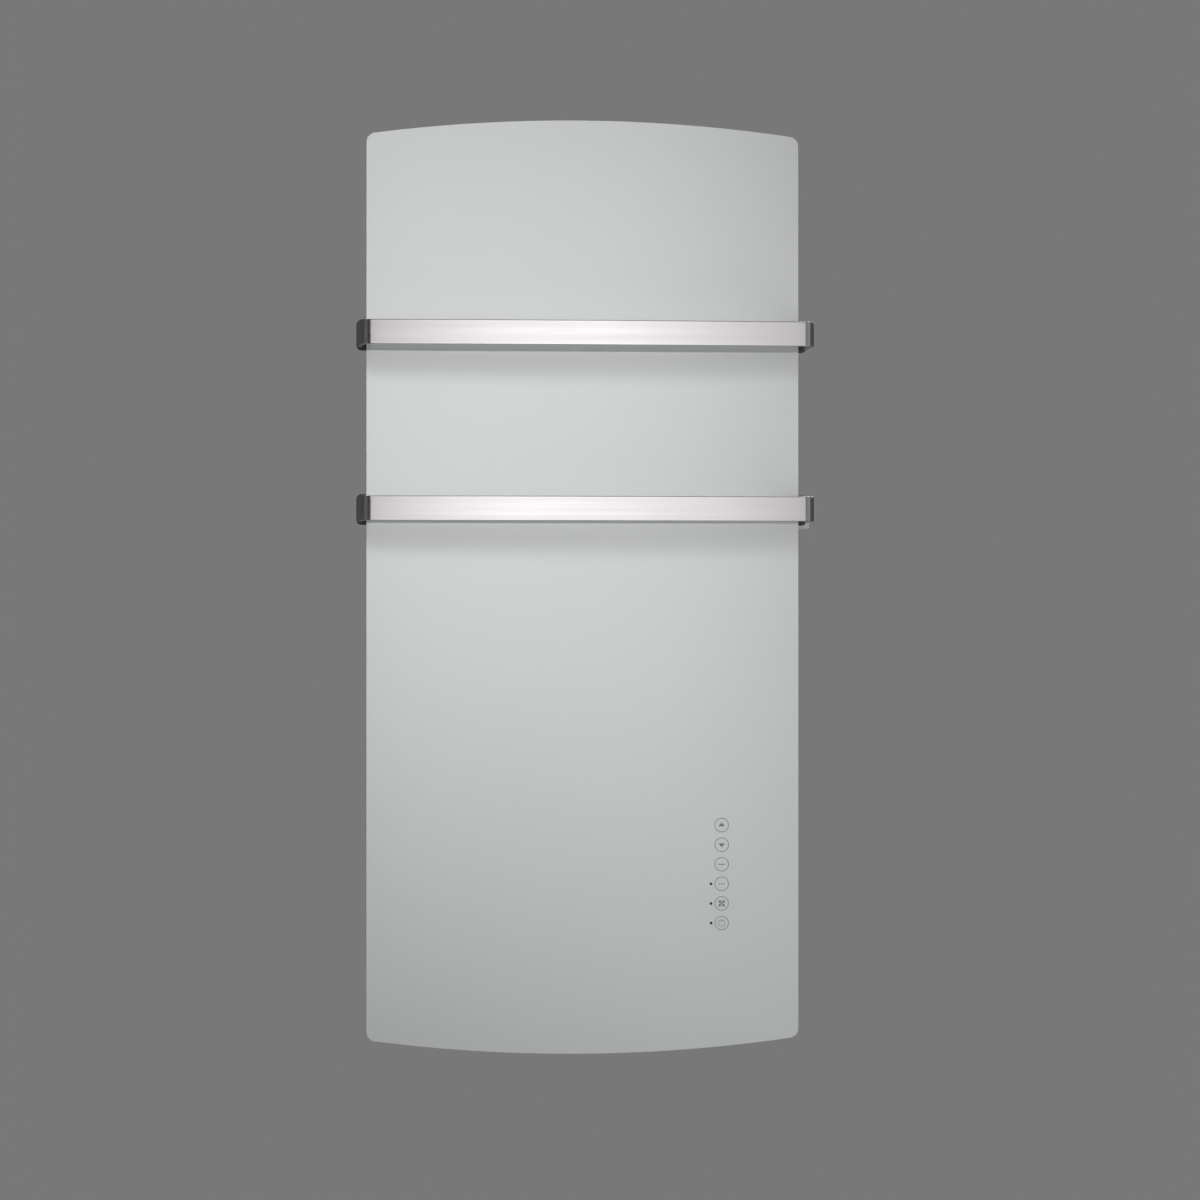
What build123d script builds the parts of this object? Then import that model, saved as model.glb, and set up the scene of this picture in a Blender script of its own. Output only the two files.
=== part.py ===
from build123d import *
import os
from math import sqrt

# Wall heater for towels: a glass front on a flat steel casing, with two hoop bars.
# All sizes are in millimetres. Depths are measured from the wall towards the room,
# which is towards -Y. Heights in the functions are measured from the glass's centre.

# Glass front
GLASS_W = 442
GLASS_H = 950
GLASS_T = 6
GLASS_END_R = 1577
GLASS_CORNER_R = 10
GLASS_ARRIS = 0.8

# Build-up of depths behind the glass
WALL_GAP = 14
CASING_D = 45
RAIL_T = 4
BOND_T = 1

# Height of the wall fixings above the glass's centre
HANG_HEIGHT = 250

# Rear casing, folded from sheet
SHEET = 1.2
CASING_SIDE_INSET = 9
CASING_END_INSET = 35
CASING_CORNER_R = 6
SIDE_FLANGE = 48
END_FLANGE = 22
VENT_L = 22
VENT_H = 5
VENT_PITCH = 30
VENTS = 11

# Towel bars: flat strip, bent back at both ends, on flat plates beside the casing
BAR_H = 25
BAR_T = 4
BAR_OUT = 9
BAR_GAP = 54
BAR_BOW = 5
BAR_BEND_R = 11
BAR_EASE = 0.6
UPPER_BAR_DROP = 219.5
BAR_PITCH = 177
PLATE_T = 3
PLATE_RIM = 3
PLATE_SIDE_RIM = 0.5
PLATE_CORNER_R = 5
PLATE_INSET = 17
PLATE_SCREW_IN = 9
PLATE_SCREW_RISE = 9

# Screws, M4 unless named otherwise
SCREW_R = 2
SCREW_HEAD_R = 3.5
SCREW_HEAD_T = 1.5
HOLE_PLAY = 0.05
NUT_W = 10
NUT_T = 3
NUT_SCREW_TIP = 1

# Rails bonded to the glass, hung on mushroom studs
RAIL_W = 18
RAIL_INSET = 20
RAIL_END_CLEAR = 30
GROOVE_W = 11
GROOVE_T = 1.6
STUD_NECK_R = 2.3
STUD_HEAD_R = 4.5
STUD_HEAD_T = 1.2
STUDS = 3
STUD_END_CLEAR = 80
KEYHOLE_R = 5
KEYHOLE_DROP = 14
KEYSLOT_PLAY = 0.2

# Heating layers behind the glass
FOIL_SIDE_CLEAR = 14
FOIL_T = 0.8
FOIL_TOP_CLEAR = 16
FOIL_RISE = 250
FOIL_MARGIN = 12
MAT_SIDE_CLEAR = 1
SHIELD_SHEET = 0.8
SHIELD_FLANGE = 12
SHIELD_DEEP = 8
SHIELD_SCREWS = 3
SHIELD_SCREW_CLEAR = 1

# Wall bracket and wall spacers
BRACKET_W = 260
BRACKET_H = 90
BRACKET_T = 2
BRACKET_HOLE_R = 3.25
BRACKET_SPACING_X = 200
BRACKET_SPACING_Z = 60
HOOK_X = 60
HOOK_W = 24
HOOK_LIP = 8
HOOK_PLAY = 0.3
HOOK_SLOT_PLAY = 1
HOOK_SLOT_DROP = 12
SPACER_IN = 27
SPACER_RISE = 60
SPACER_R = 11
SPACER_PLUG_R = 4
SPACER_PLUG_L = 4

# Cross-flow fan in the bottom of the casing
FAN_X = -20
FAN_RISE = 48
FAN_DEPTH = 36
FAN_WALL = 1.5
IMPELLER_R = 16
IMPELLER_L = 200
IMPELLER_RING_R = 9
IMPELLER_DISC_T = 1.5
IMPELLER_RINGS = 3
BLADES = 24
BLADE_T = 0.8
BLADE_CHORD = 5.2
BLADE_TILT = 35
HUB_R = 5
HUB_L = 6
SCROLL_GAP = 2.5
SCROLL_OVER = 3
TONGUE_DROP = 11
TONGUE_GAP = 1.8
FAN_END_GAP = 3
FAN_END_T = 2
FAN_END_RISE = 22
FIT = 0.3

# Fan motor on the right of the fan, with shafts and bushes
SHAFT_R = 2
SHAFT_PLAY = 0.03
BUSH_R = 4
BUSH_L = 6
STUB_L = 16
ROTOR_R = 10.1
ROTOR_GAP = 0.4
STATOR_W = 34
STATOR_BELOW = 18
STATOR_ABOVE = 33
STATOR_T = 18
STATOR_LEG = 7
STATOR_WINDOW_H = 12
MOTOR_STANDOFF = 14
BRIDGE_W = 12
BRIDGE_H = 34
BRIDGE_T = 2
BRIDGE_REACH = 7
MOTOR_BOLT_R = 1.5
MOTOR_BOLT_HEAD_R = 2.8
MOTOR_BOLT_HEAD_T = 2
MOTOR_BOLT_RISE = 14
COIL_W = 18
COIL_WALL = 4
COIL_PLAY = 0.2

# Ceramic heater block in the air outlet
PTC_H = 14
PTC_RIM = 4
PTC_RISE = 8
PTC_FINS = 39
PTC_FIN_T = 1
PTC_FIN_STEP = 1
PTC_STRIP_T = 2.4
CUTOUT_R = 7
CUTOUT_T = 5
CUTOUT_RISE = 15
CUTOUT_TAB_L = 4
CUTOUT_TAB_W = 4
CUTOUT_TAB_T = 0.8

# Air grilles and the dust filter behind the casing
GRILLE_T = 2
OUTLET_SLOTS = 24
OUTLET_RIB = 2.5
OUTLET_CLEAR = 5
INTAKE_H = 46
INTAKE_RISE = 25
INTAKE_COLUMNS = 18
INTAKE_ROWS = 3
INTAKE_RIB = 3
INTAKE_LIP = 4
FILTER_RIM = 9
FILTER_T = 3.6
FILTER_BAR = 6
FILTER_RIB = 2
FILTER_RIBS = 2
FILTER_PLAY = 0.4
FILTER_TAB_W = 40
FILTER_TAB_H = 10
MESH_T = 0.6
MESH_COLUMNS = 24
MESH_ROWS = 8
MESH_WIRE = 1
GUIDE_WEB = 2
GUIDE_LIP = 4
GUIDE_LIP_T = 1.5

# Touch keys behind the glass, in one column, with three indicator lights
KEYS = 6
KEY_IN = 70
KEY_TOP_RISE = 197
KEY_PITCH = 20
KEY_PAD_R = 5.5
KEY_GAP = 2
LED_R = 1.45
LED_OUT = 11
LEDS = 3
TOUCH_BOARD_W = 36
TOUCH_BOARD_RIM = 10
TOUCH_BOARD_SHIFT = 2.75
BOARD_T = 1.6
TRAY_T = 2
TRAY_DEPTH = 6
RIBBON_W = 16
RIBBON_T = 0.8

# Power board on the casing's back
POWER_X = 20
POWER_RISE = 168
POWER_W = 130
POWER_H = 84
POWER_SCREW_IN = 6
STANDOFF_R = 4
STANDOFF_L = 8
RELAY_W = 20
RELAY_H = 16
RELAY_T = 17
RELAY_EASE = 1
RELAYS = 2
PART_MARGIN = 4
CAPACITOR_R = 8
CAPACITOR_L = 20
CAPACITOR_RIGHT = 8
CAPACITOR_DROP = 6
CAPACITOR_EASE = 0.6
TRANSFORMER_W = 32
TRANSFORMER_H = 28
TRANSFORMER_T = 22
TRANSFORMER_DROP = 8
CORE_H = 14
WINDING_W = 19.2
WINDING_STEP = 2
CONNECTOR_W = 30
CONNECTOR_H = 9
CONNECTOR_T = 12
CONNECTOR_MARGIN = 2

# Mains terminals, access cover and cable gland
TERMINAL_BESIDE_FAN = 27
TERMINAL_RISE = 194
TERMINAL_W = 38
TERMINAL_H = 22
TERMINAL_T = 17
TERMINAL_POLES = 3
TERMINAL_SCREW_R = 2.2
TERMINAL_SCREW_T = 3
TERMINAL_SCREW_SINK = 3
TERMINAL_SLOT_W = 0.7
TERMINAL_SLOT_DEEP = 0.8
HATCH_RISE = 140
HATCH_W = 60
HATCH_H = 40
HATCH_LAP = 11
GLAND_DEPTH = 36
GLAND_THREAD_R = 8
GLAND_HEX = 22
GLAND_COLLAR = 6
GLAND_THREAD_L = 10
GLAND_NUT_T = 4
GLAND_CAP_R = 10
GLAND_CAP_L = 12
GLAND_BORE_R = 5.5
CABLE_BORE_R = 3.5
SEAL_L = 12

# Mains rocker switch in a small pod on the casing's right side
POD_BELOW_BAR = 3.5
POD_H = 30
POD_DEPTH = 20
POD_D = 26
POD_OUT = 24
POD_WALL = 2
POD_CORNER_R = 4
ROCKER_R = 10.6
ROCKER_W = 12.4
ROCKER_SINK = 3.5
ROCKER_CREST = 2.6
ROCKER_TIP = 4.3
ROCKER_BELLY = 4
ROCKER_HEEL = 2
ROCKER_TILT = 10
ROCKER_PLAY = 0.3
PIVOT_R = 1.5
PIVOT_PLAY = 0.05
PIVOT_L = 2
CHEEK_T = 2.5
CHEEK_W = 8

# Room temperature sensor in the casing's bottom
SENSOR_IN = 47
SENSOR_R = 2.5
SENSOR_L = 14
GROMMET_R = 5
GROMMET_T = 4

# Insulated leads inside the casing
LEAD_R = 1.1
LEAD_PITCH = 4
LEAD_BEND = 6
LEAD_BACK = 28
LEAD_FRONT = 34
LEAD_DROP = 14
LEAD_SIDE_CLEAR = 8

# Sizes and places that follow from the ones above
CASING_W = GLASS_W - 2 * CASING_SIDE_INSET
CASING_H = GLASS_H - 2 * CASING_END_INSET
CASING_BACK = WALL_GAP + SHEET
CASING_FRONT = WALL_GAP + CASING_D
FLANGE_BACK = CASING_FRONT - SHEET
CASING_BOTTOM = -CASING_H / 2
GLASS_BACK = CASING_FRONT + RAIL_T + BOND_T
GLASS_FRONT = GLASS_BACK + GLASS_T
BAR_HALF = GLASS_W / 2 + BAR_OUT
BAR_CROWN = GLASS_FRONT + BAR_GAP + BAR_T + BAR_BOW
BAR_BOW_R = (BAR_HALF**2 + BAR_BOW**2) / (2 * BAR_BOW)
PLATE_FRONT = CASING_FRONT + PLATE_T
PLATE_OUTER = BAR_HALF + PLATE_SIDE_RIM
PLATE_INNER = CASING_W / 2 - PLATE_INSET
PLATE_SCREW_X = CASING_W / 2 - PLATE_SCREW_IN
UPPER_BAR_Z = GLASS_H / 2 - UPPER_BAR_DROP
LOWER_BAR_Z = UPPER_BAR_Z - BAR_PITCH
POD_Z = LOWER_BAR_Z - POD_BELOW_BAR
BAR_HEIGHTS = {"upper": UPPER_BAR_Z, "lower": LOWER_BAR_Z}
SIDES = {"left": -1, "right": 1}
RAIL_X = CASING_W / 2 - RAIL_INSET - RAIL_W / 2
RAIL_H = CASING_H - 2 * RAIL_END_CLEAR
GROOVE_BACK = CASING_FRONT + RAIL_T - GROOVE_T
MOUTH_W = CASING_W - 2 * SIDE_FLANGE
MOUTH_H = CASING_H - 2 * END_FLANGE
FOIL_W = 2 * RAIL_X - RAIL_W - 2 * FOIL_SIDE_CLEAR
FOIL_TOP = CASING_H / 2 - FOIL_TOP_CLEAR
FOIL_BOTTOM = CASING_BOTTOM + FOIL_RISE
FOIL_H = FOIL_TOP - FOIL_BOTTOM
FOIL_Z = (FOIL_TOP + FOIL_BOTTOM) / 2
FOIL_BACK = GLASS_BACK - FOIL_T
SHIELD_W = MOUTH_W - 2 * SHIELD_FLANGE
SHIELD_H = FOIL_H - 2 * FOIL_MARGIN
SHIELD_SCREW_X = MOUTH_W / 2 + SCREW_HEAD_R + SHIELD_SCREW_CLEAR
SHIELD_BACK = CASING_FRONT - 2 * SHEET - SHIELD_DEEP
SPACER_X = CASING_W / 2 - SPACER_IN
SPACER_Z = CASING_BOTTOM + SPACER_RISE
FAN_Z = CASING_BOTTOM + FAN_RISE
CUTOUT_Z = CASING_BOTTOM + CUTOUT_RISE
DUCT_BOTTOM = CASING_BOTTOM + SHEET + GRILLE_T
SCROLL_R = IMPELLER_R + SCROLL_GAP
DUCT_FRONT = FAN_DEPTH + SCROLL_R
DUCT_BACK = FAN_DEPTH - sqrt((IMPELLER_R + TONGUE_GAP) ** 2 - TONGUE_DROP**2)
FAN_L = IMPELLER_L + 2 * FAN_END_GAP
FAN_RIGHT = FAN_X + FAN_L / 2
FAN_LEFT = FAN_X - FAN_L / 2
STATOR_X = FAN_RIGHT + FAN_END_T + MOTOR_STANDOFF + STATOR_T / 2
MOTOR_LEFT = STATOR_X - STATOR_T / 2 - BRIDGE_REACH
MOTOR_RIGHT = STATOR_X + STATOR_T / 2 + BRIDGE_REACH
STATOR_TOP = FAN_Z + STATOR_ABOVE
INTAKE_Z = FAN_Z + INTAKE_RISE
INTAKE_W = IMPELLER_L - 2 * INTAKE_LIP
FILTER_W = INTAKE_W + 2 * FILTER_RIM
FILTER_H = INTAKE_H + 2 * FILTER_RIM
FILTER_BACK = WALL_GAP - FILTER_PLAY - FILTER_T
GUIDE_BACK = FILTER_BACK - FILTER_PLAY - GUIDE_LIP_T
KEY_X = CASING_W / 2 - KEY_IN
KEY_TOP_Z = CASING_BOTTOM + KEY_TOP_RISE
KEY_MID_Z = KEY_TOP_Z - (KEYS - 1) * KEY_PITCH / 2
LED_X = KEY_X - LED_OUT
TOUCH_BOARD_X = KEY_X - TOUCH_BOARD_SHIFT
TOUCH_BOARD_H = (KEYS - 1) * KEY_PITCH + 2 * TOUCH_BOARD_RIM
TOUCH_BOARD_BACK = GLASS_BACK - KEY_GAP - BOARD_T
POWER_Z = CASING_BOTTOM + POWER_RISE
POWER_BACK = CASING_BACK + STANDOFF_L
POWER_FRONT = POWER_BACK + BOARD_T
PLUG_FOOT = POWER_Z - POWER_H / 2 + CONNECTOR_MARGIN
TERMINAL_X = FAN_LEFT - TERMINAL_BESIDE_FAN
TERMINAL_Z = CASING_BOTTOM + TERMINAL_RISE
HATCH_Z = CASING_BOTTOM + HATCH_RISE
SENSOR_X = CASING_W / 2 - SENSOR_IN
POD_FACE = CASING_W / 2 + POD_OUT
POD_MID = POD_DEPTH + POD_D / 2
ROCKER_X = POD_FACE - ROCKER_SINK
CHEEK_AT = ROCKER_W / 2 + ROCKER_PLAY


def block(x, z, depth, width, height, thick):
    """Block centred on x and z that reaches from depth towards the room."""
    return Pos(x, -(depth + thick / 2), z) * Box(width, thick, height)


def post(x, z, depth, radius, length):
    """Round post that stands out of the wall's plane, from depth towards the room."""
    return Pos(x, -(depth + length / 2), z) * Rot(X=90) * Cylinder(radius, length)


def axle(x, z, depth, radius, length):
    """Round bar along X, centred on x."""
    return Pos(x, -depth, z) * Rot(Y=90) * Cylinder(radius, length)


def pillar(x, depth, foot, radius, height):
    """Round upright whose foot stands at the given height."""
    return Pos(x, -depth, foot + height / 2) * Cylinder(radius, height)


def facing(outline, depth, thick):
    """Outline drawn as seen from the room, made solid from depth towards the room."""
    return extrude(Plane.XZ.offset(depth) * outline, amount=thick)


def spread(count, pitch):
    """Evenly spaced places about zero."""
    return [(i - (count - 1) / 2) * pitch for i in range(count)]


def screw(x, z, seat, length, inward):
    """M4 screw with its head's seat at a depth; inward ones point at the wall."""
    head = post(x, z, seat if inward else seat - SCREW_HEAD_T, SCREW_HEAD_R, SCREW_HEAD_T)
    shank = post(x, z, seat - length if inward else seat, SCREW_R, length)
    return head + shank


def screw_hole(x, z, depth, length):
    return post(x, z, depth, SCREW_R + HOLE_PLAY, length)


def group(pieces):
    """Separate solids that share one name."""
    return Compound([solid for piece in pieces for solid in piece.solids()])


def save(name, shape):
    """Write one piece, moved so that the wall fixings' centre is the origin."""
    export_step(Pos(0, 0, -HANG_HEIGHT) * shape, f"parts/{name}.step")


def glass_panel():
    half = GLASS_W / 2
    top = GLASS_H / 2
    shoulder = top - GLASS_END_R + sqrt(GLASS_END_R**2 - half**2)
    edge = [
        Line((-half, -shoulder), (-half, shoulder)),
        ThreePointArc((-half, shoulder), (0, top), (half, shoulder)),
        Line((half, shoulder), (half, -shoulder)),
        ThreePointArc((half, -shoulder), (0, -top), (-half, -shoulder)),
    ]
    outline = make_face(edge)
    outline = fillet(outline.vertices(), GLASS_CORNER_R)
    panel = facing(outline, GLASS_BACK, GLASS_T)
    return chamfer(panel.faces().filter_by(Axis.Y).edges(), GLASS_ARRIS)


def bar_area(half, crown, bow_radius, bend_radius):
    """Plan area inside a hoop's line, closed along the plates' front."""
    corner = -(crown - bow_radius + sqrt(bow_radius**2 - half**2))
    bow = ThreePointArc((-half, corner), (0, -crown), (half, corner))
    legs = Polyline((half, corner), (half, -PLATE_FRONT), (-half, -PLATE_FRONT), (-half, corner))
    area = make_face([bow, legs])
    return fillet(area.vertices().sort_by(Axis.Y)[:2], bend_radius)


def towel_bar(z):
    outer = bar_area(BAR_HALF, BAR_CROWN, BAR_BOW_R, BAR_BEND_R)
    inner = bar_area(BAR_HALF - BAR_T, BAR_CROWN - BAR_T, BAR_BOW_R - BAR_T, BAR_BEND_R - BAR_T)
    strip = extrude(outer - inner, amount=BAR_H)
    strip = chamfer(strip.faces().filter_by(Axis.Z).edges(), BAR_EASE)
    return Pos(0, 0, z - BAR_H / 2) * strip


def plate_screw_places(z):
    return [(PLATE_SCREW_X, z + rise) for rise in (-PLATE_SCREW_RISE, PLATE_SCREW_RISE)]


def bar_plates(z):
    """Flat plates that a bar's legs stand on, screwed to the casing's front flange."""
    width = PLATE_OUTER - PLATE_INNER
    plate = block((PLATE_OUTER + PLATE_INNER) / 2, z, CASING_FRONT, width, BAR_H + 2 * PLATE_RIM, PLATE_T)
    plate = fillet(plate.edges().filter_by(Axis.Y), PLATE_CORNER_R)
    for x, height in plate_screw_places(z):
        plate -= screw_hole(x, height, CASING_FRONT, PLATE_T)
    return group([plate, mirror(plate, Plane.YZ)])


def plate_screws():
    length = PLATE_T + SHEET + NUT_T + NUT_SCREW_TIP
    places = [place for z in BAR_HEIGHTS.values() for place in plate_screw_places(z)]
    return [screw(x * side, z, PLATE_FRONT, length, True) for side in SIDES.values() for x, z in places]


def plate_nuts():
    """Tapped strips behind the casing's flange, one for each bar plate."""
    nuts = []
    for z in BAR_HEIGHTS.values():
        nut = block(PLATE_SCREW_X, z, FLANGE_BACK - NUT_T, NUT_W, BAR_H, NUT_T)
        for x, height in plate_screw_places(z):
            nut -= screw_hole(x, height, FLANGE_BACK - NUT_T, NUT_T)
        nuts += [nut, mirror(nut, Plane.YZ)]
    return group(nuts)


def stud_heights():
    pitch = (RAIL_H - 2 * STUD_END_CLEAR) / (STUDS - 1)
    return spread(STUDS, pitch)


def glass_rail(side):
    """Bonded rail: a groove takes the studs' heads, keyholes let them in."""
    rail = block(RAIL_X, 0, CASING_FRONT, RAIL_W, RAIL_H, RAIL_T)
    rail -= block(RAIL_X, 0, GROOVE_BACK, GROOVE_W, RAIL_H, GROOVE_T)
    slot_r = STUD_NECK_R + KEYSLOT_PLAY
    web = RAIL_T - GROOVE_T
    for z in stud_heights():
        rail -= post(RAIL_X, z + KEYSLOT_PLAY, CASING_FRONT, slot_r, web)
        rail -= block(RAIL_X, z - KEYHOLE_DROP / 2, CASING_FRONT, 2 * slot_r, KEYHOLE_DROP, web)
        rail -= post(RAIL_X, z - KEYHOLE_DROP, CASING_FRONT, KEYHOLE_R, web)
    return rail if side > 0 else mirror(rail, Plane.YZ)


def rail_studs():
    """Mushroom studs riveted into the casing's flange."""
    studs = []
    for side in SIDES.values():
        for z in stud_heights():
            neck = post(side * RAIL_X, z, FLANGE_BACK, STUD_NECK_R, GROOVE_BACK - FLANGE_BACK + HOLE_PLAY)
            foot = post(side * RAIL_X, z, FLANGE_BACK - STUD_HEAD_T, STUD_HEAD_R, STUD_HEAD_T)
            head = post(side * RAIL_X, z, GROOVE_BACK + HOLE_PLAY, STUD_HEAD_R, STUD_HEAD_T)
            studs.append(neck + foot + head)
    return group(studs)


def bond_strips():
    """Silicone between the rails and the glass."""
    depth = CASING_FRONT + RAIL_T
    return group([block(side * RAIL_X, 0, depth, RAIL_W, RAIL_H, BOND_T) for side in SIDES.values()])


def heating_foil():
    foil = block(0, FOIL_Z, FOIL_BACK, FOIL_W, FOIL_H, FOIL_T)
    return fillet(foil.edges().filter_by(Axis.Y), GLASS_CORNER_R)


def heat_shield():
    """Hat-shaped tray that holds the mat against the foil."""
    flange_depth = FLANGE_BACK - SHIELD_SHEET
    flange_w = 2 * (SHIELD_SCREW_X + SCREW_HEAD_R)
    web_depth = flange_depth - SHIELD_BACK + SHIELD_SHEET
    shield = block(0, FOIL_Z, flange_depth, flange_w, SHIELD_H, SHIELD_SHEET)
    shield += block(0, FOIL_Z, SHIELD_BACK, SHIELD_W, SHIELD_H, web_depth)
    hollow = SHIELD_W - 2 * SHIELD_SHEET
    tall = SHIELD_H - 2 * SHIELD_SHEET
    shield -= block(0, FOIL_Z, SHIELD_BACK + SHIELD_SHEET, hollow, tall, web_depth)
    for x, z in shield_screw_places():
        shield -= screw_hole(x, z, flange_depth, SHIELD_SHEET)
    return shield


def shield_screw_places():
    heights = spread(SHIELD_SCREWS, SHIELD_H / SHIELD_SCREWS)
    return [(side * SHIELD_SCREW_X, FOIL_Z + z) for side in SIDES.values() for z in heights]


def shield_screws():
    length = SHEET + SHIELD_SHEET + NUT_SCREW_TIP
    return [screw(x, z, CASING_FRONT, length, True) for x, z in shield_screw_places()]


def insulation_mat():
    width = SHIELD_W - 2 * SHIELD_SHEET - 2 * MAT_SIDE_CLEAR
    height = SHIELD_H - 2 * SHIELD_SHEET - 2 * MAT_SIDE_CLEAR
    back = SHIELD_BACK + SHIELD_SHEET
    return block(0, FOIL_Z, back, width, height, FOIL_BACK - back)


def wall_bracket():
    """Steel plate on the wall, with side flanges and two upturned hooks."""
    z = HANG_HEIGHT
    top = z + BRACKET_H / 2
    bracket = block(0, z, 0, BRACKET_W, BRACKET_H, BRACKET_T)
    for side in SIDES.values():
        flange_x = side * (BRACKET_W - BRACKET_T) / 2
        bracket += block(flange_x, z, 0, BRACKET_T, BRACKET_H, WALL_GAP)
        reach = CASING_BACK + HOOK_PLAY + BRACKET_T
        bracket += block(side * HOOK_X, top - BRACKET_T / 2, 0, HOOK_W, BRACKET_T, reach)
        lip_z = top + HOOK_LIP / 2 - BRACKET_T / 2
        lip_h = HOOK_LIP + BRACKET_T
        bracket += block(side * HOOK_X, lip_z, reach - BRACKET_T, HOOK_W, lip_h, BRACKET_T)
        for rise in (-BRACKET_SPACING_Z / 2, BRACKET_SPACING_Z / 2):
            bracket -= post(side * BRACKET_SPACING_X / 2, z + rise, 0, BRACKET_HOLE_R, BRACKET_T)
    return bracket


def wall_spacers():
    """Rubber buffers that hold the casing's lower end off the wall."""
    spacers = []
    for side in SIDES.values():
        buffer = post(side * SPACER_X, SPACER_Z, 0, SPACER_R, WALL_GAP)
        plug = post(side * SPACER_X, SPACER_Z, WALL_GAP, SPACER_PLUG_R, SPACER_PLUG_L)
        spacers.append(buffer + plug)
    return group(spacers)


def rear_casing():
    shell = block(0, 0, WALL_GAP, CASING_W, CASING_H, CASING_D)
    shell = fillet(shell.edges().filter_by(Axis.Y), CASING_CORNER_R)
    room = block(0, 0, CASING_BACK, CASING_W - 2 * SHEET, CASING_H - 2 * SHEET, CASING_D - 2 * SHEET)
    shell -= fillet(room.edges().filter_by(Axis.Y), CASING_CORNER_R - SHEET)
    shell -= block(0, 0, FLANGE_BACK, MOUTH_W, MOUTH_H, SHEET)
    return shell - casing_holes()


def casing_holes():
    """Everything cut or punched through the casing's sheet."""
    cuts = [block(x, CASING_H / 2 - SHEET / 2, FAN_DEPTH, VENT_L, SHEET, VENT_H)
            for x in spread(VENTS, VENT_PITCH)]
    hook_top = HANG_HEIGHT + BRACKET_H / 2
    for side in SIDES.values():
        slot_z = hook_top - HOOK_SLOT_DROP / 2
        slot_w = HOOK_W + 2 * HOOK_SLOT_PLAY
        cuts.append(block(side * HOOK_X, slot_z, WALL_GAP, slot_w, HOOK_SLOT_DROP, SHEET))
        cuts.append(post(side * SPACER_X, SPACER_Z, WALL_GAP, SPACER_PLUG_R + HOLE_PLAY, SHEET))
        for z in stud_heights():
            cuts.append(post(side * RAIL_X, z, FLANGE_BACK, STUD_NECK_R + HOLE_PLAY, SHEET))
        for bar_z in BAR_HEIGHTS.values():
            cuts += [screw_hole(side * x, z, FLANGE_BACK, SHEET) for x, z in plate_screw_places(bar_z)]
    cuts += [screw_hole(x, z, FLANGE_BACK, SHEET) for x, z in shield_screw_places()]
    cuts += [screw_hole(x, z, WALL_GAP, SHEET) for x, z in hatch_screw_places()]
    cuts.append(block(FAN_X, INTAKE_Z, WALL_GAP, INTAKE_W + 2 * HOLE_PLAY, INTAKE_H + 2 * HOLE_PLAY, SHEET))
    cuts.append(block(TERMINAL_X, HATCH_Z, WALL_GAP, HATCH_W, HATCH_H, SHEET))
    floor = CASING_BOTTOM + SHEET / 2
    cuts.append(block(FAN_X, floor, DUCT_BACK, IMPELLER_L, SHEET, DUCT_FRONT - DUCT_BACK))
    cuts.append(pillar(TERMINAL_X, GLAND_DEPTH, CASING_BOTTOM, GLAND_THREAD_R + HOLE_PLAY, SHEET))
    cuts.append(pillar(SENSOR_X, FAN_DEPTH, CASING_BOTTOM, SENSOR_R + HOLE_PLAY, SHEET))
    wire_way = POD_D - 4 * POD_WALL
    cuts.append(block(CASING_W / 2 - SHEET / 2, POD_Z, POD_MID - wire_way / 2, SHEET, wire_way, wire_way))
    return cuts


def hatch_screw_places():
    return [(TERMINAL_X + side * (HATCH_W + HATCH_LAP) / 2, HATCH_Z) for side in SIDES.values()]


def terminal_cover():
    """Cover plate over the wiring hatch in the casing's back."""
    width = HATCH_W + 2 * HATCH_LAP
    height = HATCH_H + 2 * HATCH_LAP
    cover = block(TERMINAL_X, HATCH_Z, WALL_GAP - SHEET, width, height, SHEET)
    cover = fillet(cover.edges().filter_by(Axis.Y), CASING_CORNER_R)
    for x, z in hatch_screw_places():
        cover -= screw_hole(x, z, WALL_GAP - SHEET, SHEET)
    return cover


def cover_screws():
    length = 2 * SHEET + NUT_SCREW_TIP
    return [screw(x, z, WALL_GAP - SHEET, length, False) for x, z in hatch_screw_places()]


def fan_outline(shape):
    """Cross-section of the fan, drawn in depth and height, made the fan's length."""
    return Pos(FAN_LEFT, 0, 0) * extrude(Plane.YZ * shape, amount=FAN_L)


def cross_rectangle(depth, thick, bottom, top):
    return Pos(-(depth + thick / 2), (bottom + top) / 2) * Rectangle(thick, top - bottom)


def fan_scroll():
    """Curved front wall that guides the air round the impeller and down."""
    centre = Pos(-FAN_DEPTH, FAN_Z)
    ring = centre * Circle(SCROLL_R + FAN_WALL) - centre * Circle(SCROLL_R)
    reach = SCROLL_R + FAN_WALL
    kept = cross_rectangle(FAN_DEPTH - SCROLL_OVER, reach + SCROLL_OVER, FAN_Z, FAN_Z + reach)
    wall = cross_rectangle(DUCT_FRONT, FAN_WALL, DUCT_BOTTOM, FAN_Z)
    return fan_outline((ring & kept) + wall)


def fan_tongue():
    """Straight back wall with the lip that parts the intake from the outlet."""
    top = FAN_Z - TONGUE_DROP
    wall = cross_rectangle(DUCT_BACK - FAN_WALL, FAN_WALL, DUCT_BOTTOM, top)
    flange = cross_rectangle(CASING_BACK, DUCT_BACK - CASING_BACK, top - FAN_WALL, top)
    return fan_outline(wall + flange)


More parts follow.
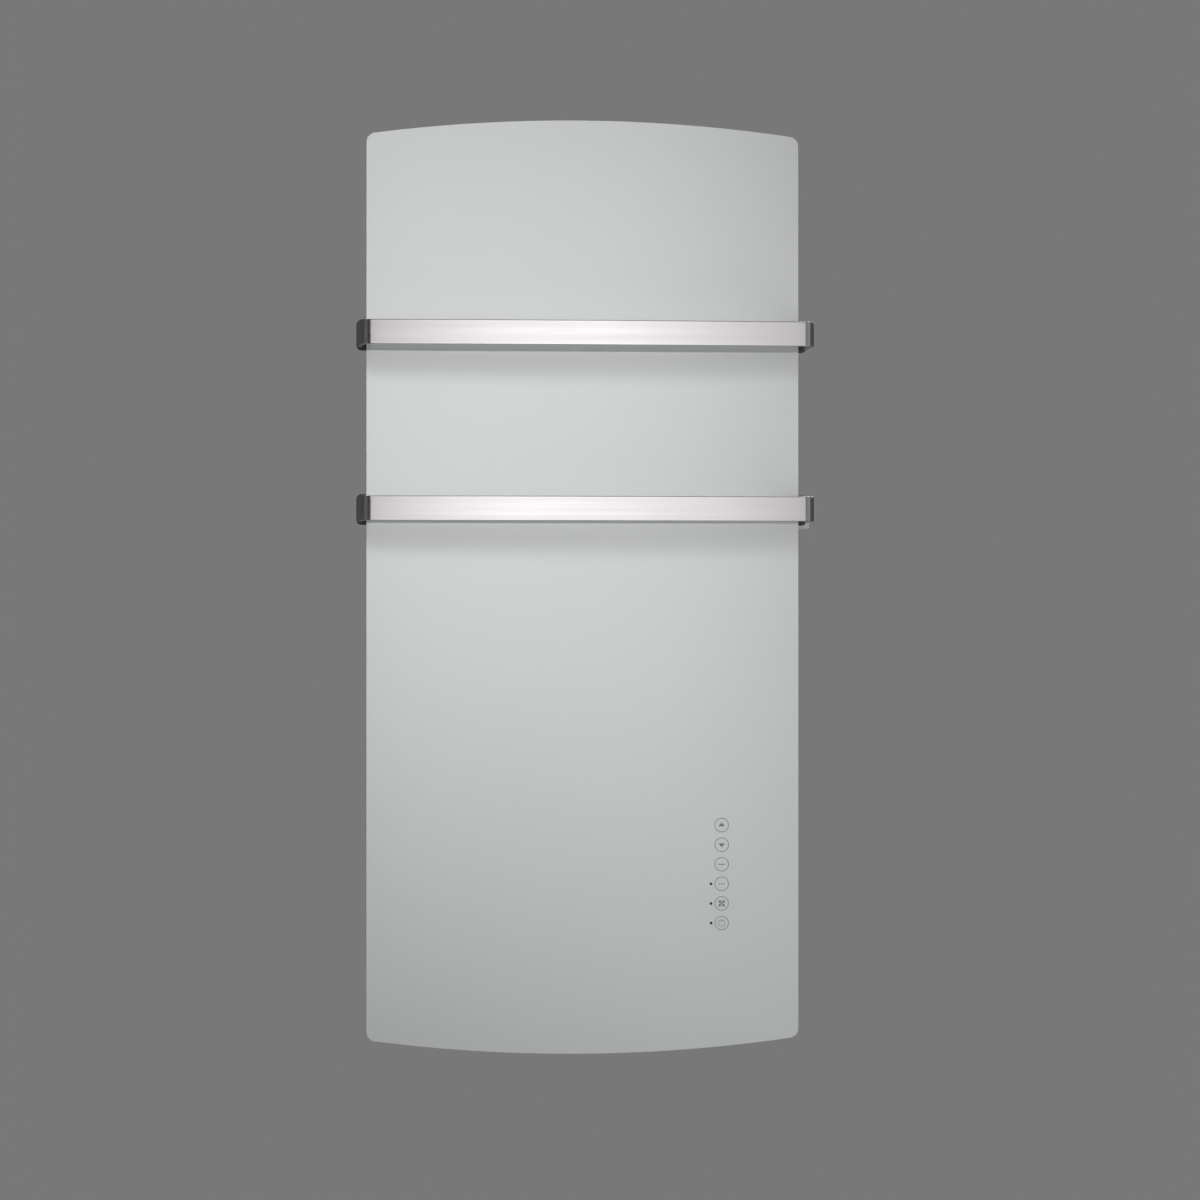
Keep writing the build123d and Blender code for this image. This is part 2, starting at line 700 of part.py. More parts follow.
def fan_end(side):
    """End wall of the fan, with a seat for a bush or for the motor's shaft."""
    top = FAN_Z + FAN_END_RISE
    height = top - DUCT_BOTTOM
    x = FAN_X + side * (FAN_L + FAN_END_T) / 2
    depth = FLANGE_BACK - CASING_BACK
    wall = block(x, top - height / 2, CASING_BACK, FAN_END_T, height, depth)
    if side < 0:
        return wall - axle(x, FAN_Z, FAN_DEPTH, BUSH_R + HOLE_PLAY, FAN_END_T)
    wall -= axle(x, FAN_Z, FAN_DEPTH, BUSH_R + FIT, FAN_END_T)
    for z in motor_bolt_heights():
        wall -= axle(x, z, FAN_DEPTH, MOTOR_BOLT_R + HOLE_PLAY, FAN_END_T)
    return wall


def impeller():
    """Drum of slim blades between two end discs and open rings."""
    gap = (IMPELLER_L - IMPELLER_DISC_T) / (IMPELLER_RINGS + 1)
    drum = Part()
    for x in spread(IMPELLER_RINGS, gap):
        drum += axle(FAN_X + x, FAN_Z, FAN_DEPTH, IMPELLER_R, IMPELLER_DISC_T)
    drum -= axle(FAN_X, FAN_Z, FAN_DEPTH, IMPELLER_RING_R, IMPELLER_L)
    for side in SIDES.values():
        disc_x = FAN_X + side * (IMPELLER_L - IMPELLER_DISC_T) / 2
        hub_x = FAN_X + side * (IMPELLER_L - HUB_L) / 2
        drum += axle(disc_x, FAN_Z, FAN_DEPTH, IMPELLER_R, IMPELLER_DISC_T)
        drum += axle(hub_x, FAN_Z, FAN_DEPTH, HUB_R, HUB_L)
    middle = IMPELLER_R - BLADE_CHORD / 2
    blade = Pos(0, 0, middle) * Rot(X=BLADE_TILT) * Box(IMPELLER_L, BLADE_T, BLADE_CHORD)
    blades = [Pos(FAN_X, -FAN_DEPTH, FAN_Z) * Rot(X=i * 360 / BLADES) * blade for i in range(BLADES)]
    drum += blades
    return drum - axle(FAN_X, FAN_Z, FAN_DEPTH, SHAFT_R, IMPELLER_L)


def shaft(start, end):
    return axle((start + end) / 2, FAN_Z, FAN_DEPTH, SHAFT_R, end - start)


def fan_shafts():
    """Stub at the impeller's left end, and the motor's shaft at its right end."""
    stub_end = FAN_X - IMPELLER_L / 2 + HUB_L
    motor_start = FAN_X + IMPELLER_L / 2 - HUB_L
    return group([shaft(stub_end - STUB_L, stub_end), shaft(motor_start, MOTOR_RIGHT + BUSH_L)])


def bush(x):
    hole = axle(x, FAN_Z, FAN_DEPTH, SHAFT_R + SHAFT_PLAY, BUSH_L)
    return axle(x, FAN_Z, FAN_DEPTH, BUSH_R, BUSH_L) - hole


def bushes():
    """Bronze bushes in the left end wall and in both motor bridges."""
    left = FAN_LEFT - FAN_END_T / 2
    return group([bush(x) for x in (left, MOTOR_LEFT + BRIDGE_T / 2, MOTOR_RIGHT - BRIDGE_T / 2)])


def motor_bolt_heights():
    return [FAN_Z - MOTOR_BOLT_RISE, FAN_Z + MOTOR_BOLT_RISE]


def motor_stator():
    height = STATOR_BELOW + STATOR_ABOVE
    z = STATOR_TOP - height / 2
    depth = FAN_DEPTH - STATOR_W / 2
    core = block(STATOR_X, z, depth, STATOR_T, height, STATOR_W)
    core -= axle(STATOR_X, FAN_Z, FAN_DEPTH, ROTOR_R + ROTOR_GAP, STATOR_T)
    window_z = STATOR_TOP - STATOR_LEG - STATOR_WINDOW_H / 2
    window_w = STATOR_W - 2 * STATOR_LEG
    core -= block(STATOR_X, window_z, FAN_DEPTH - window_w / 2, STATOR_T, STATOR_WINDOW_H, window_w)
    for bolt_z in motor_bolt_heights():
        core -= axle(STATOR_X, bolt_z, FAN_DEPTH, MOTOR_BOLT_R + HOLE_PLAY, STATOR_T)
    return core


def motor_coil():
    """Winding round the stator's upper leg."""
    z = STATOR_TOP - STATOR_LEG / 2
    inner_w = STATOR_T + 2 * COIL_PLAY
    inner_h = STATOR_LEG + 2 * COIL_PLAY
    depth = FAN_DEPTH - COIL_W / 2
    coil = block(STATOR_X, z, depth, inner_w + 2 * COIL_WALL, inner_h + 2 * COIL_WALL, COIL_W)
    coil = fillet(coil.edges().filter_by(Axis.Y), COIL_WALL / 2)
    return coil - block(STATOR_X, z, depth, inner_w, inner_h, COIL_W)


def motor_rotor():
    body = axle(STATOR_X, FAN_Z, FAN_DEPTH, ROTOR_R, STATOR_T)
    return body - axle(STATOR_X, FAN_Z, FAN_DEPTH, SHAFT_R, STATOR_T)


def motor_bridge(outer_face, side):
    """Strap across the rotor that holds a bush, on two feet against the stator."""
    plate_x = outer_face - side * BRIDGE_T / 2
    depth = FAN_DEPTH - BRIDGE_W / 2
    bridge = block(plate_x, FAN_Z, depth, BRIDGE_T, BRIDGE_H, BRIDGE_W)
    foot_l = BRIDGE_REACH - BRIDGE_T
    foot_x = outer_face - side * (BRIDGE_T + foot_l / 2)
    foot_h = BRIDGE_H - 2 * MOTOR_BOLT_RISE + 2 * MOTOR_BOLT_R
    for z in motor_bolt_heights():
        bridge += block(foot_x, z, depth, foot_l, foot_h / 2, BRIDGE_W)
        bridge -= axle(outer_face, z, FAN_DEPTH, MOTOR_BOLT_R + HOLE_PLAY, 2 * BRIDGE_REACH)
    return bridge - axle(plate_x, FAN_Z, FAN_DEPTH, BUSH_R + HOLE_PLAY, BRIDGE_T)


def motor_bridges():
    return group([motor_bridge(MOTOR_LEFT, -1), motor_bridge(MOTOR_RIGHT, 1)])


def motor_bolts():
    """Long bolts that clamp bridges and stator to the fan's right end wall."""
    bolts = []
    start = FAN_RIGHT
    for z in motor_bolt_heights():
        shank = axle((start + MOTOR_RIGHT) / 2, z, FAN_DEPTH, MOTOR_BOLT_R, MOTOR_RIGHT - start)
        head_x = MOTOR_RIGHT + MOTOR_BOLT_HEAD_T / 2
        sleeve_start = FAN_RIGHT + FAN_END_T
        sleeve_l = MOTOR_LEFT - sleeve_start
        sleeve = axle(sleeve_start + sleeve_l / 2, z, FAN_DEPTH, MOTOR_BOLT_HEAD_R, sleeve_l)
        bolts.append(shank + axle(head_x, z, FAN_DEPTH, MOTOR_BOLT_HEAD_R, MOTOR_BOLT_HEAD_T) + sleeve)
    return group(bolts)


def ptc_frame():
    """Plastic frame that fills the outlet duct and carries the heater block."""
    z = DUCT_BOTTOM + PTC_RISE + PTC_H / 2
    deep = DUCT_FRONT - DUCT_BACK
    frame = block(FAN_X, z, DUCT_BACK, FAN_L, PTC_H, deep)
    inner_l = FAN_L - 2 * PTC_RIM
    return frame - block(FAN_X, z, DUCT_BACK + PTC_RIM, inner_l, PTC_H, deep - 2 * PTC_RIM)


def ptc_fins():
    """Heater block: fins between two ceramic strips along its length."""
    z = DUCT_BOTTOM + PTC_RISE + PTC_H / 2
    deep = DUCT_FRONT - DUCT_BACK - 2 * PTC_RIM
    length = FAN_L - 2 * PTC_RIM
    back = DUCT_BACK + PTC_RIM
    fins = Part()
    for depth in (back, back + (deep - PTC_STRIP_T) / 2, back + deep - PTC_STRIP_T):
        fins += block(FAN_X, z, depth, length, PTC_H, PTC_STRIP_T)
    pitch = (length - PTC_FIN_T) / (PTC_FINS - 1)
    fin_h = PTC_H - 2 * PTC_FIN_STEP
    fins += [block(FAN_X + x, z, back, PTC_FIN_T, fin_h, deep) for x in spread(PTC_FINS, pitch)]
    return fins


def thermal_cutout():
    """Overheat switch on the fan's left end wall, beside the heater block."""
    x = FAN_LEFT - FAN_END_T
    can = axle(x - CUTOUT_T / 2, CUTOUT_Z, FAN_DEPTH, CUTOUT_R, CUTOUT_T)
    tab_x = x - CUTOUT_T - CUTOUT_TAB_L / 2
    depth = FAN_DEPTH - CUTOUT_TAB_W / 2
    for rise in (-CUTOUT_R / 2, CUTOUT_R / 2):
        can += block(tab_x, CUTOUT_Z + rise, depth, CUTOUT_TAB_L, CUTOUT_TAB_T, CUTOUT_TAB_W)
    return can


def outlet_grille():
    """Slotted grille inside the casing's bottom opening."""
    deep = DUCT_FRONT - DUCT_BACK
    z = CASING_BOTTOM + SHEET + GRILLE_T / 2
    grille = block(FAN_X, z, DUCT_BACK - FAN_WALL, FAN_L, GRILLE_T, deep + 2 * FAN_WALL)
    usable = IMPELLER_L - 2 * OUTLET_CLEAR
    pitch = usable / OUTLET_SLOTS
    slots = [block(FAN_X + x, z, DUCT_BACK + OUTLET_RIB, pitch - OUTLET_RIB, GRILLE_T, deep - 2 * OUTLET_RIB)
             for x in spread(OUTLET_SLOTS, pitch)]
    return grille - slots


def intake_grille():
    """Slotted plastic insert in the casing's back, with a lip inside."""
    lip_w = INTAKE_W + 2 * INTAKE_LIP
    lip_h = INTAKE_H + 2 * INTAKE_LIP
    grille = block(FAN_X, INTAKE_Z, WALL_GAP, INTAKE_W, INTAKE_H, SHEET)
    grille += block(FAN_X, INTAKE_Z, CASING_BACK, lip_w, lip_h, GRILLE_T)
    pitch_x = INTAKE_W / INTAKE_COLUMNS
    pitch_z = INTAKE_H / INTAKE_ROWS
    slots = [block(FAN_X + x, INTAKE_Z + z, WALL_GAP, pitch_x - INTAKE_RIB, pitch_z - INTAKE_RIB,
                   SHEET + GRILLE_T)
             for x in spread(INTAKE_COLUMNS, pitch_x) for z in spread(INTAKE_ROWS, pitch_z)]
    return grille - slots


def filter_frame():
    """Frame of the dust filter, with ribs on the wall side and a pull tab below."""
    frame = block(FAN_X, INTAKE_Z, FILTER_BACK, FILTER_W, FILTER_H, FILTER_T)
    window_w = FILTER_W - 2 * FILTER_BAR
    window_h = FILTER_H - 2 * FILTER_BAR
    frame -= block(FAN_X, INTAKE_Z, FILTER_BACK, window_w, window_h, FILTER_T)
    rib_t = (FILTER_T - MESH_T) / 2
    for x in spread(FILTER_RIBS, window_w / (FILTER_RIBS + 1)):
        frame += block(FAN_X + x, INTAKE_Z, FILTER_BACK, FILTER_RIB, window_h, rib_t)
    tab_z = INTAKE_Z - FILTER_H / 2 - FILTER_TAB_H / 2
    return frame + block(FAN_X, tab_z, FILTER_BACK, FILTER_TAB_W, FILTER_TAB_H, FILTER_T)


def filter_mesh():
    window_w = FILTER_W - 2 * FILTER_BAR
    window_h = FILTER_H - 2 * FILTER_BAR
    depth = FILTER_BACK + (FILTER_T - MESH_T) / 2
    pitch_x = (window_w - MESH_WIRE) / MESH_COLUMNS
    pitch_z = (window_h - MESH_WIRE) / MESH_ROWS
    gaps = [Pos(x, z) * Rectangle(pitch_x - MESH_WIRE, pitch_z - MESH_WIRE)
            for x in spread(MESH_COLUMNS, pitch_x) for z in spread(MESH_ROWS, pitch_z)]
    net = Rectangle(window_w, window_h) - gaps
    return Pos(FAN_X, 0, INTAKE_Z) * facing(net, depth, MESH_T)


def filter_guide():
    """Two runners joined by a top stop, which the filter slides down out of."""
    half = FILTER_W / 2 + FILTER_PLAY
    deep = WALL_GAP - GUIDE_BACK
    top = INTAKE_Z + FILTER_H / 2 + FILTER_PLAY
    guide = block(FAN_X, top + GUIDE_WEB / 2, GUIDE_BACK, 2 * (half + GUIDE_WEB), GUIDE_WEB, deep)
    for side in SIDES.values():
        web_x = FAN_X + side * (half + GUIDE_WEB / 2)
        lip_x = FAN_X + side * (half + GUIDE_WEB - (GUIDE_WEB + GUIDE_LIP) / 2)
        height = FILTER_H + FILTER_PLAY
        guide += block(web_x, top - height / 2, GUIDE_BACK, GUIDE_WEB, height, deep)
        guide += block(lip_x, top - height / 2, GUIDE_BACK, GUIDE_WEB + GUIDE_LIP, height, GUIDE_LIP_T)
    return guide


def key_heights():
    return [KEY_TOP_Z - i * KEY_PITCH for i in range(KEYS)]


def touch_board():
    board = block(TOUCH_BOARD_X, KEY_MID_Z, TOUCH_BOARD_BACK, TOUCH_BOARD_W, TOUCH_BOARD_H, BOARD_T)
    return fillet(board.edges().filter_by(Axis.Y), TRAY_T)


def touch_pads():
    """Conductive foam discs between the touch board and the glass."""
    depth = GLASS_BACK - KEY_GAP
    return group([post(KEY_X, z, depth, KEY_PAD_R, KEY_GAP) for z in key_heights()])


def led_lenses():
    """Clear light pipes behind the three indicator windows."""
    depth = GLASS_BACK - KEY_GAP
    return group([post(LED_X, z, depth, LED_R, KEY_GAP) for z in key_heights()[-LEDS:]])


def board_tray():
    """Plastic tray behind the touch board, bonded to the glass round its rim."""
    width = TOUCH_BOARD_W + 2 * (FIT + TRAY_T)
    height = TOUCH_BOARD_H + 2 * (FIT + TRAY_T)
    x = TOUCH_BOARD_X
    back = GLASS_BACK - TRAY_DEPTH - TRAY_T
    tray = block(x, KEY_MID_Z, back, width, height, TRAY_DEPTH + TRAY_T)
    tray -= block(x, KEY_MID_Z, back + TRAY_T, width - 2 * TRAY_T, height - 2 * TRAY_T, TRAY_DEPTH)
    ledge = TOUCH_BOARD_BACK - back - TRAY_T
    for z in (-1, 1):
        ledge_z = KEY_MID_Z + z * (TOUCH_BOARD_H / 2 - TRAY_T)
        tray += block(x, ledge_z, back + TRAY_T, width - TRAY_T, 2 * TRAY_T, ledge)
    return tray - block(x, KEY_MID_Z, back, RIBBON_W + 2 * FIT, RIBBON_T + 2 * FIT, TRAY_T)


def ribbon_cable():
    """Flat cable from the touch board back to a plug on the power board."""
    x = TOUCH_BOARD_X
    plug_x = POWER_X + POWER_W / 2 - RIBBON_W / 2
    turn = POWER_FRONT + CONNECTOR_T + RIBBON_T
    cable = block(x, KEY_MID_Z, turn - RIBBON_T, RIBBON_W, RIBBON_T, TOUCH_BOARD_BACK - turn + RIBBON_T)
    across_w = x - plug_x + RIBBON_W
    cable += block((x + plug_x) / 2, KEY_MID_Z, turn - RIBBON_T, across_w, RIBBON_T, RIBBON_T)
    return cable


def power_board():
    board = block(POWER_X, POWER_Z, POWER_BACK, POWER_W, POWER_H, BOARD_T)
    for x, z in power_corners():
        board -= screw_hole(x, z, POWER_BACK, BOARD_T)
    return board


def power_corners():
    half_w = POWER_W / 2 - POWER_SCREW_IN
    half_h = POWER_H / 2 - POWER_SCREW_IN
    return [(POWER_X + i * half_w, POWER_Z + j * half_h) for i in (-1, 1) for j in (-1, 1)]


def board_standoffs():
    posts = [post(x, z, CASING_BACK, STANDOFF_R, STANDOFF_L) - screw_hole(x, z, CASING_BACK, STANDOFF_L)
             for x, z in power_corners()]
    return group(posts)


def board_screws():
    return [screw(x, z, POWER_FRONT, BOARD_T + STANDOFF_L / 2, True) for x, z in power_corners()]


def casing_screws():
    """All the M4 screws of the bar plates, heat shield, hatch cover and power board."""
    return group(plate_screws() + shield_screws() + cover_screws() + board_screws())


def relays():
    """Switching relays for the foil and the fan heater."""
    z = POWER_Z + POWER_H / 2 - RELAY_H / 2 - PART_MARGIN
    cans = []
    for x in spread(RELAYS, RELAY_W + PART_MARGIN):
        can = block(POWER_X + x, z, POWER_FRONT, RELAY_W, RELAY_H, RELAY_T)
        cans.append(fillet(can.edges().filter_by(Axis.Y), RELAY_EASE))
    return group(cans)


def transformer():
    """Small mains transformer: a core with a fatter winding round it."""
    x = POWER_X - POWER_W / 2 + TRANSFORMER_W / 2 + PART_MARGIN
    z = POWER_Z - TRANSFORMER_DROP
    core = block(x, z, POWER_FRONT, TRANSFORMER_W, CORE_H, TRANSFORMER_T)
    winding_t = TRANSFORMER_T - 2 * WINDING_STEP
    winding = block(x, z, POWER_FRONT + WINDING_STEP, WINDING_W, TRANSFORMER_H, winding_t)
    return core + fillet(winding.edges().filter_by(Axis.X), WINDING_STEP)


def capacitor():
    x = POWER_X + CAPACITOR_RIGHT
    can = post(x, POWER_Z - CAPACITOR_DROP, POWER_FRONT, CAPACITOR_R, CAPACITOR_L)
    return chamfer(can.edges(), CAPACITOR_EASE)


def board_connectors():
    """Plug rows along the board's lower and right edges."""
    low = block(POWER_X, PLUG_FOOT + CONNECTOR_H / 2, POWER_FRONT, CONNECTOR_W, CONNECTOR_H, CONNECTOR_T)
    side_x = POWER_X + POWER_W / 2 - RIBBON_W / 2
    side = block(side_x, KEY_MID_Z, POWER_FRONT, RIBBON_W, CONNECTOR_H, CONNECTOR_T)
    return group([low, side])


def lead(points):
    """One insulated wire along straight runs with rounded turns."""
    path = FilletPolyline(*[(x, -depth, z) for x, depth, z in points], radius=LEAD_BEND)
    section = Plane(origin=path @ 0, z_dir=path % 0) * Circle(LEAD_R)
    return sweep(section, path=path)


def supply_leads():
    """Three wires from the terminals, under the board, up into its lower plug row."""
    start_z = TERMINAL_Z - TERMINAL_H / 2
    starts = spread(TERMINAL_POLES, TERMINAL_W / TERMINAL_POLES)
    ends = [POWER_X - (i + 1) * LEAD_PITCH for i in range(TERMINAL_POLES)]
    levels = [PLUG_FOOT - LEAD_DROP - (TERMINAL_POLES - i) * LEAD_PITCH for i in range(TERMINAL_POLES)]
    leads = []
    for x, end_x, z in zip(starts, ends, levels):
        x += TERMINAL_X
        route = [(x, LEAD_BACK, start_z), (x, LEAD_BACK, z), (end_x, LEAD_BACK, z),
                 (end_x, LEAD_BACK, PLUG_FOOT)]
        leads.append(lead(route))
    return leads


def cutout_leads():
    """Two wires from the plug row down to the thermal cut-out's tabs."""
    tab_x = FAN_LEFT - FAN_END_T - CUTOUT_T - CUTOUT_TAB_L
    leads = []
    for i, rise in enumerate((CUTOUT_R / 2, -CUTOUT_R / 2)):
        start_x = POWER_X + i * LEAD_PITCH
        level = PLUG_FOOT - 2 * LEAD_DROP - (2 - i) * LEAD_PITCH
        down_x = tab_x - LEAD_SIDE_CLEAR - i * LEAD_PITCH
        z = CUTOUT_Z + rise
        route = [(start_x, LEAD_FRONT, PLUG_FOOT), (start_x, LEAD_FRONT, level),
                 (down_x, LEAD_FRONT, level), (down_x, LEAD_FRONT, z), (tab_x, LEAD_FRONT, z)]
        leads.append(lead(route))
    return leads


def motor_leads():
    """Two wires from the plug row to the motor's coil."""
    coil_top = STATOR_TOP + COIL_PLAY + COIL_WALL
    leads = []
    for i in range(2):
        start_x = POWER_X + (3 - i) * LEAD_PITCH
        end_x = STATOR_X + (i - 0.5) * LEAD_PITCH
        level = PLUG_FOOT - LEAD_DROP - i * LEAD_PITCH
        route = [(start_x, LEAD_BACK, PLUG_FOOT), (start_x, LEAD_BACK, level),
                 (end_x, LEAD_BACK, level), (end_x, LEAD_BACK, coil_top)]
        leads.append(lead(route))
    return leads


def foil_leads():
    """Two wires from the board's top edge up and forward to the foil's lower rim."""
    start_z = POWER_Z + POWER_H / 2 - CONNECTOR_MARGIN
    end_z = FOIL_BOTTOM + FOIL_MARGIN / 2
    leads = []
    for x in spread(2, 2 * LEAD_PITCH):
        route = [(POWER_X + x, POWER_FRONT, start_z), (POWER_X + x, LEAD_FRONT + LEAD_BEND, start_z),
                 (POWER_X + x, LEAD_FRONT + LEAD_BEND, end_z), (POWER_X + x, FOIL_BACK, end_z)]
        leads.append(lead(route))
    return leads


def wiring():
    return group(supply_leads() + cutout_leads() + motor_leads() + foil_leads())


def terminal_places():
    pitch = TERMINAL_W / TERMINAL_POLES
    rows = (-TERMINAL_H / 4, TERMINAL_H / 4)
    return [(TERMINAL_X + x, TERMINAL_Z + z) for x in spread(TERMINAL_POLES, pitch) for z in rows]


def terminal_block():
    body = block(TERMINAL_X, TERMINAL_Z, CASING_BACK, TERMINAL_W, TERMINAL_H, TERMINAL_T)
    deep = TERMINAL_SCREW_SINK + TERMINAL_SCREW_T
    for x, z in terminal_places():
        body -= post(x, z, CASING_BACK + TERMINAL_T - deep, TERMINAL_SCREW_R + FIT, deep)
    return body


def terminal_screws():
    seat = CASING_BACK + TERMINAL_T - TERMINAL_SCREW_SINK - TERMINAL_SCREW_T
    slot = seat + TERMINAL_SCREW_T - TERMINAL_SLOT_DEEP
    screws = []
    for x, z in terminal_places():
        head = post(x, z, seat, TERMINAL_SCREW_R, TERMINAL_SCREW_T)
        screws.append(head - block(x, z, slot, 2 * TERMINAL_SCREW_R, TERMINAL_SLOT_W, TERMINAL_SLOT_DEEP))
    return group(screws)


def hexagon(x, depth, foot, across, height):
    flat = RegularPolygon(across / 2, 6, major_radius=False)
    return Pos(x, -depth, foot) * extrude(flat, amount=height)


def gland_bore(foot, height, radius):
    return pillar(TERMINAL_X, GLAND_DEPTH, foot, radius, height)


def cable_gland():
    """Gland body: a collar under the casing and a thread through its floor."""
    foot = CASING_BOTTOM - GLAND_COLLAR
    body = hexagon(TERMINAL_X, GLAND_DEPTH, foot, GLAND_HEX, GLAND_COLLAR)
    body += gland_bore(CASING_BOTTOM, GLAND_THREAD_L, GLAND_THREAD_R)
    return body - gland_bore(foot, GLAND_COLLAR + GLAND_THREAD_L, GLAND_BORE_R)


def gland_nut():
    foot = CASING_BOTTOM + SHEET
    nut = hexagon(TERMINAL_X, GLAND_DEPTH, foot, GLAND_HEX, GLAND_NUT_T)
    return nut - gland_bore(foot, GLAND_NUT_T, GLAND_THREAD_R + HOLE_PLAY)


def gland_cap():
    """Domed cap that squeezes the seal onto the mains cable."""
    foot = CASING_BOTTOM - GLAND_COLLAR - GLAND_CAP_L
    cap = gland_bore(foot, GLAND_CAP_L, GLAND_CAP_R)
    cap = fillet(cap.edges().sort_by(Axis.Z)[0], GLAND_CAP_R / 3)
    return cap - gland_bore(foot, GLAND_CAP_L, GLAND_BORE_R)


def gland_seal():
    foot = CASING_BOTTOM - GLAND_COLLAR - GLAND_CAP_L / 2
    seal = gland_bore(foot, SEAL_L, GLAND_BORE_R)
    return seal - gland_bore(foot, SEAL_L, CABLE_BORE_R)


def switch_pod():
    """Hollow pod on the casing's side, with cheeks that hold the rocker's pins."""
    x = CASING_W / 2 + POD_OUT / 2
    pod = block(x, POD_Z, POD_DEPTH, POD_OUT, POD_H, POD_D)
    pod = fillet(pod.edges().filter_by(Axis.X), POD_CORNER_R)
    pod = chamfer(pod.faces().sort_by(Axis.X)[-1].edges(), POD_WALL / 2)
    room = POD_D - 2 * POD_WALL
    room_h = POD_H - 2 * POD_WALL
    pod -= block(x - POD_WALL / 2, POD_Z, POD_DEPTH + POD_WALL, POD_OUT - POD_WALL, room_h, room)
    face_x = POD_FACE - POD_WALL / 2
    mouth_h = 2 * (ROCKER_R + ROCKER_PLAY)
    mouth_w = 2 * CHEEK_AT
    pod -= block(face_x, POD_Z, POD_MID - CHEEK_AT, POD_WALL, mouth_h, mouth_w)
    cheek_l = ROCKER_SINK + CHEEK_W / 2
    cheeks_back = POD_MID - CHEEK_AT - CHEEK_T
    for start in (POD_MID + CHEEK_AT, cheeks_back):
        pod += block(POD_FACE - POD_WALL - cheek_l / 2, POD_Z, start, cheek_l, room_h, CHEEK_T)
    return pod - post(ROCKER_X, POD_Z, cheeks_back, PIVOT_R + PIVOT_PLAY, 2 * (CHEEK_AT + CHEEK_T))


def rocker():
    """Switch key, a shallow V in side view, resting with its lower end pressed in."""
    heel = (-ROCKER_HEEL, sqrt(ROCKER_R**2 - ROCKER_TIP**2))
    side = [
        (ROCKER_CREST, 0),
        (ROCKER_TIP, heel[1]),
        heel,
        (-ROCKER_BELLY, heel[1] / 2),
        (-ROCKER_BELLY, -heel[1] / 2),
        (heel[0], -heel[1]),
        (ROCKER_TIP, -heel[1]),
    ]
    key = extrude(Plane.XZ * make_face(Polyline(*side, close=True)), amount=ROCKER_W)
    key = Pos(0, ROCKER_W / 2, 0) * key
    pin_l = ROCKER_W + 2 * (ROCKER_PLAY + PIVOT_L)
    key += Rot(X=90) * Cylinder(PIVOT_R, pin_l)
    return Pos(ROCKER_X, -POD_MID, POD_Z) * Rot(Y=ROCKER_TILT) * key


def room_sensor():
    """Temperature probe whose tip reaches out of the casing's floor."""
    return pillar(SENSOR_X, FAN_DEPTH, CASING_BOTTOM - SENSOR_L / 2, SENSOR_R, SENSOR_L)


def sensor_grommet():
    ring = pillar(SENSOR_X, FAN_DEPTH, CASING_BOTTOM + SHEET, GROMMET_R, GROMMET_T)
    return ring - pillar(SENSOR_X, FAN_DEPTH, CASING_BOTTOM + SHEET, SENSOR_R, GROMMET_T)


os.makedirs("parts", exist_ok=True)
save("glass_panel", glass_panel())
for bar_name, bar_z in BAR_HEIGHTS.items():
    save(f"towel_bar_{bar_name}", towel_bar(bar_z))
    save(f"bar_plates_{bar_name}", bar_plates(bar_z))
save("plate_nuts", plate_nuts())
save("casing_screws", casing_screws())
for rail_side, rail_sign in SIDES.items():
    save(f"glass_rail_{rail_side}", glass_rail(rail_sign))
    save(f"fan_end_{rail_side}", fan_end(rail_sign))
save("rail_studs", rail_studs())
save("bond_strips", bond_strips())
save("heating_foil", heating_foil())
save("insulation_mat", insulation_mat())
save("heat_shield", heat_shield())
save("wall_bracket", wall_bracket())
save("wall_spacers", wall_spacers())
save("rear_casing", rear_casing())
save("terminal_cover", terminal_cover())
save("fan_scroll", fan_scroll())
save("fan_tongue", fan_tongue())
save("impeller", impeller())
save("fan_shafts", fan_shafts())
save("shaft_bushes", bushes())
save("motor_stator", motor_stator())
save("motor_coil", motor_coil())
save("motor_rotor", motor_rotor())
save("motor_bridges", motor_bridges())
save("motor_bolts", motor_bolts())
save("ptc_frame", ptc_frame())
save("ptc_fins", ptc_fins())
save("thermal_cutout", thermal_cutout())
save("outlet_grille", outlet_grille())
save("intake_grille", intake_grille())
save("filter_frame", filter_frame())
save("filter_mesh", filter_mesh())
save("filter_guide", filter_guide())
save("touch_board", touch_board())
save("touch_pads", touch_pads())
save("led_lenses", led_lenses())
save("board_tray", board_tray())
save("ribbon_cable", ribbon_cable())
save("power_board", power_board())
save("board_standoffs", board_standoffs())
save("relays", relays())
save("transformer", transformer())
save("capacitor", capacitor())
save("board_connectors", board_connectors())
save("wiring", wiring())
save("terminal_block", terminal_block())
save("terminal_screws", terminal_screws())
save("cable_gland", cable_gland())
save("gland_nut", gland_nut())
save("gland_cap", gland_cap())
save("gland_seal", gland_seal())
save("switch_pod", switch_pod())
save("rocker", rocker())
save("room_sensor", room_sensor())
save("sensor_grommet", sensor_grommet())
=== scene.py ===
from math import asin, cos, pi, radians, sin, sqrt

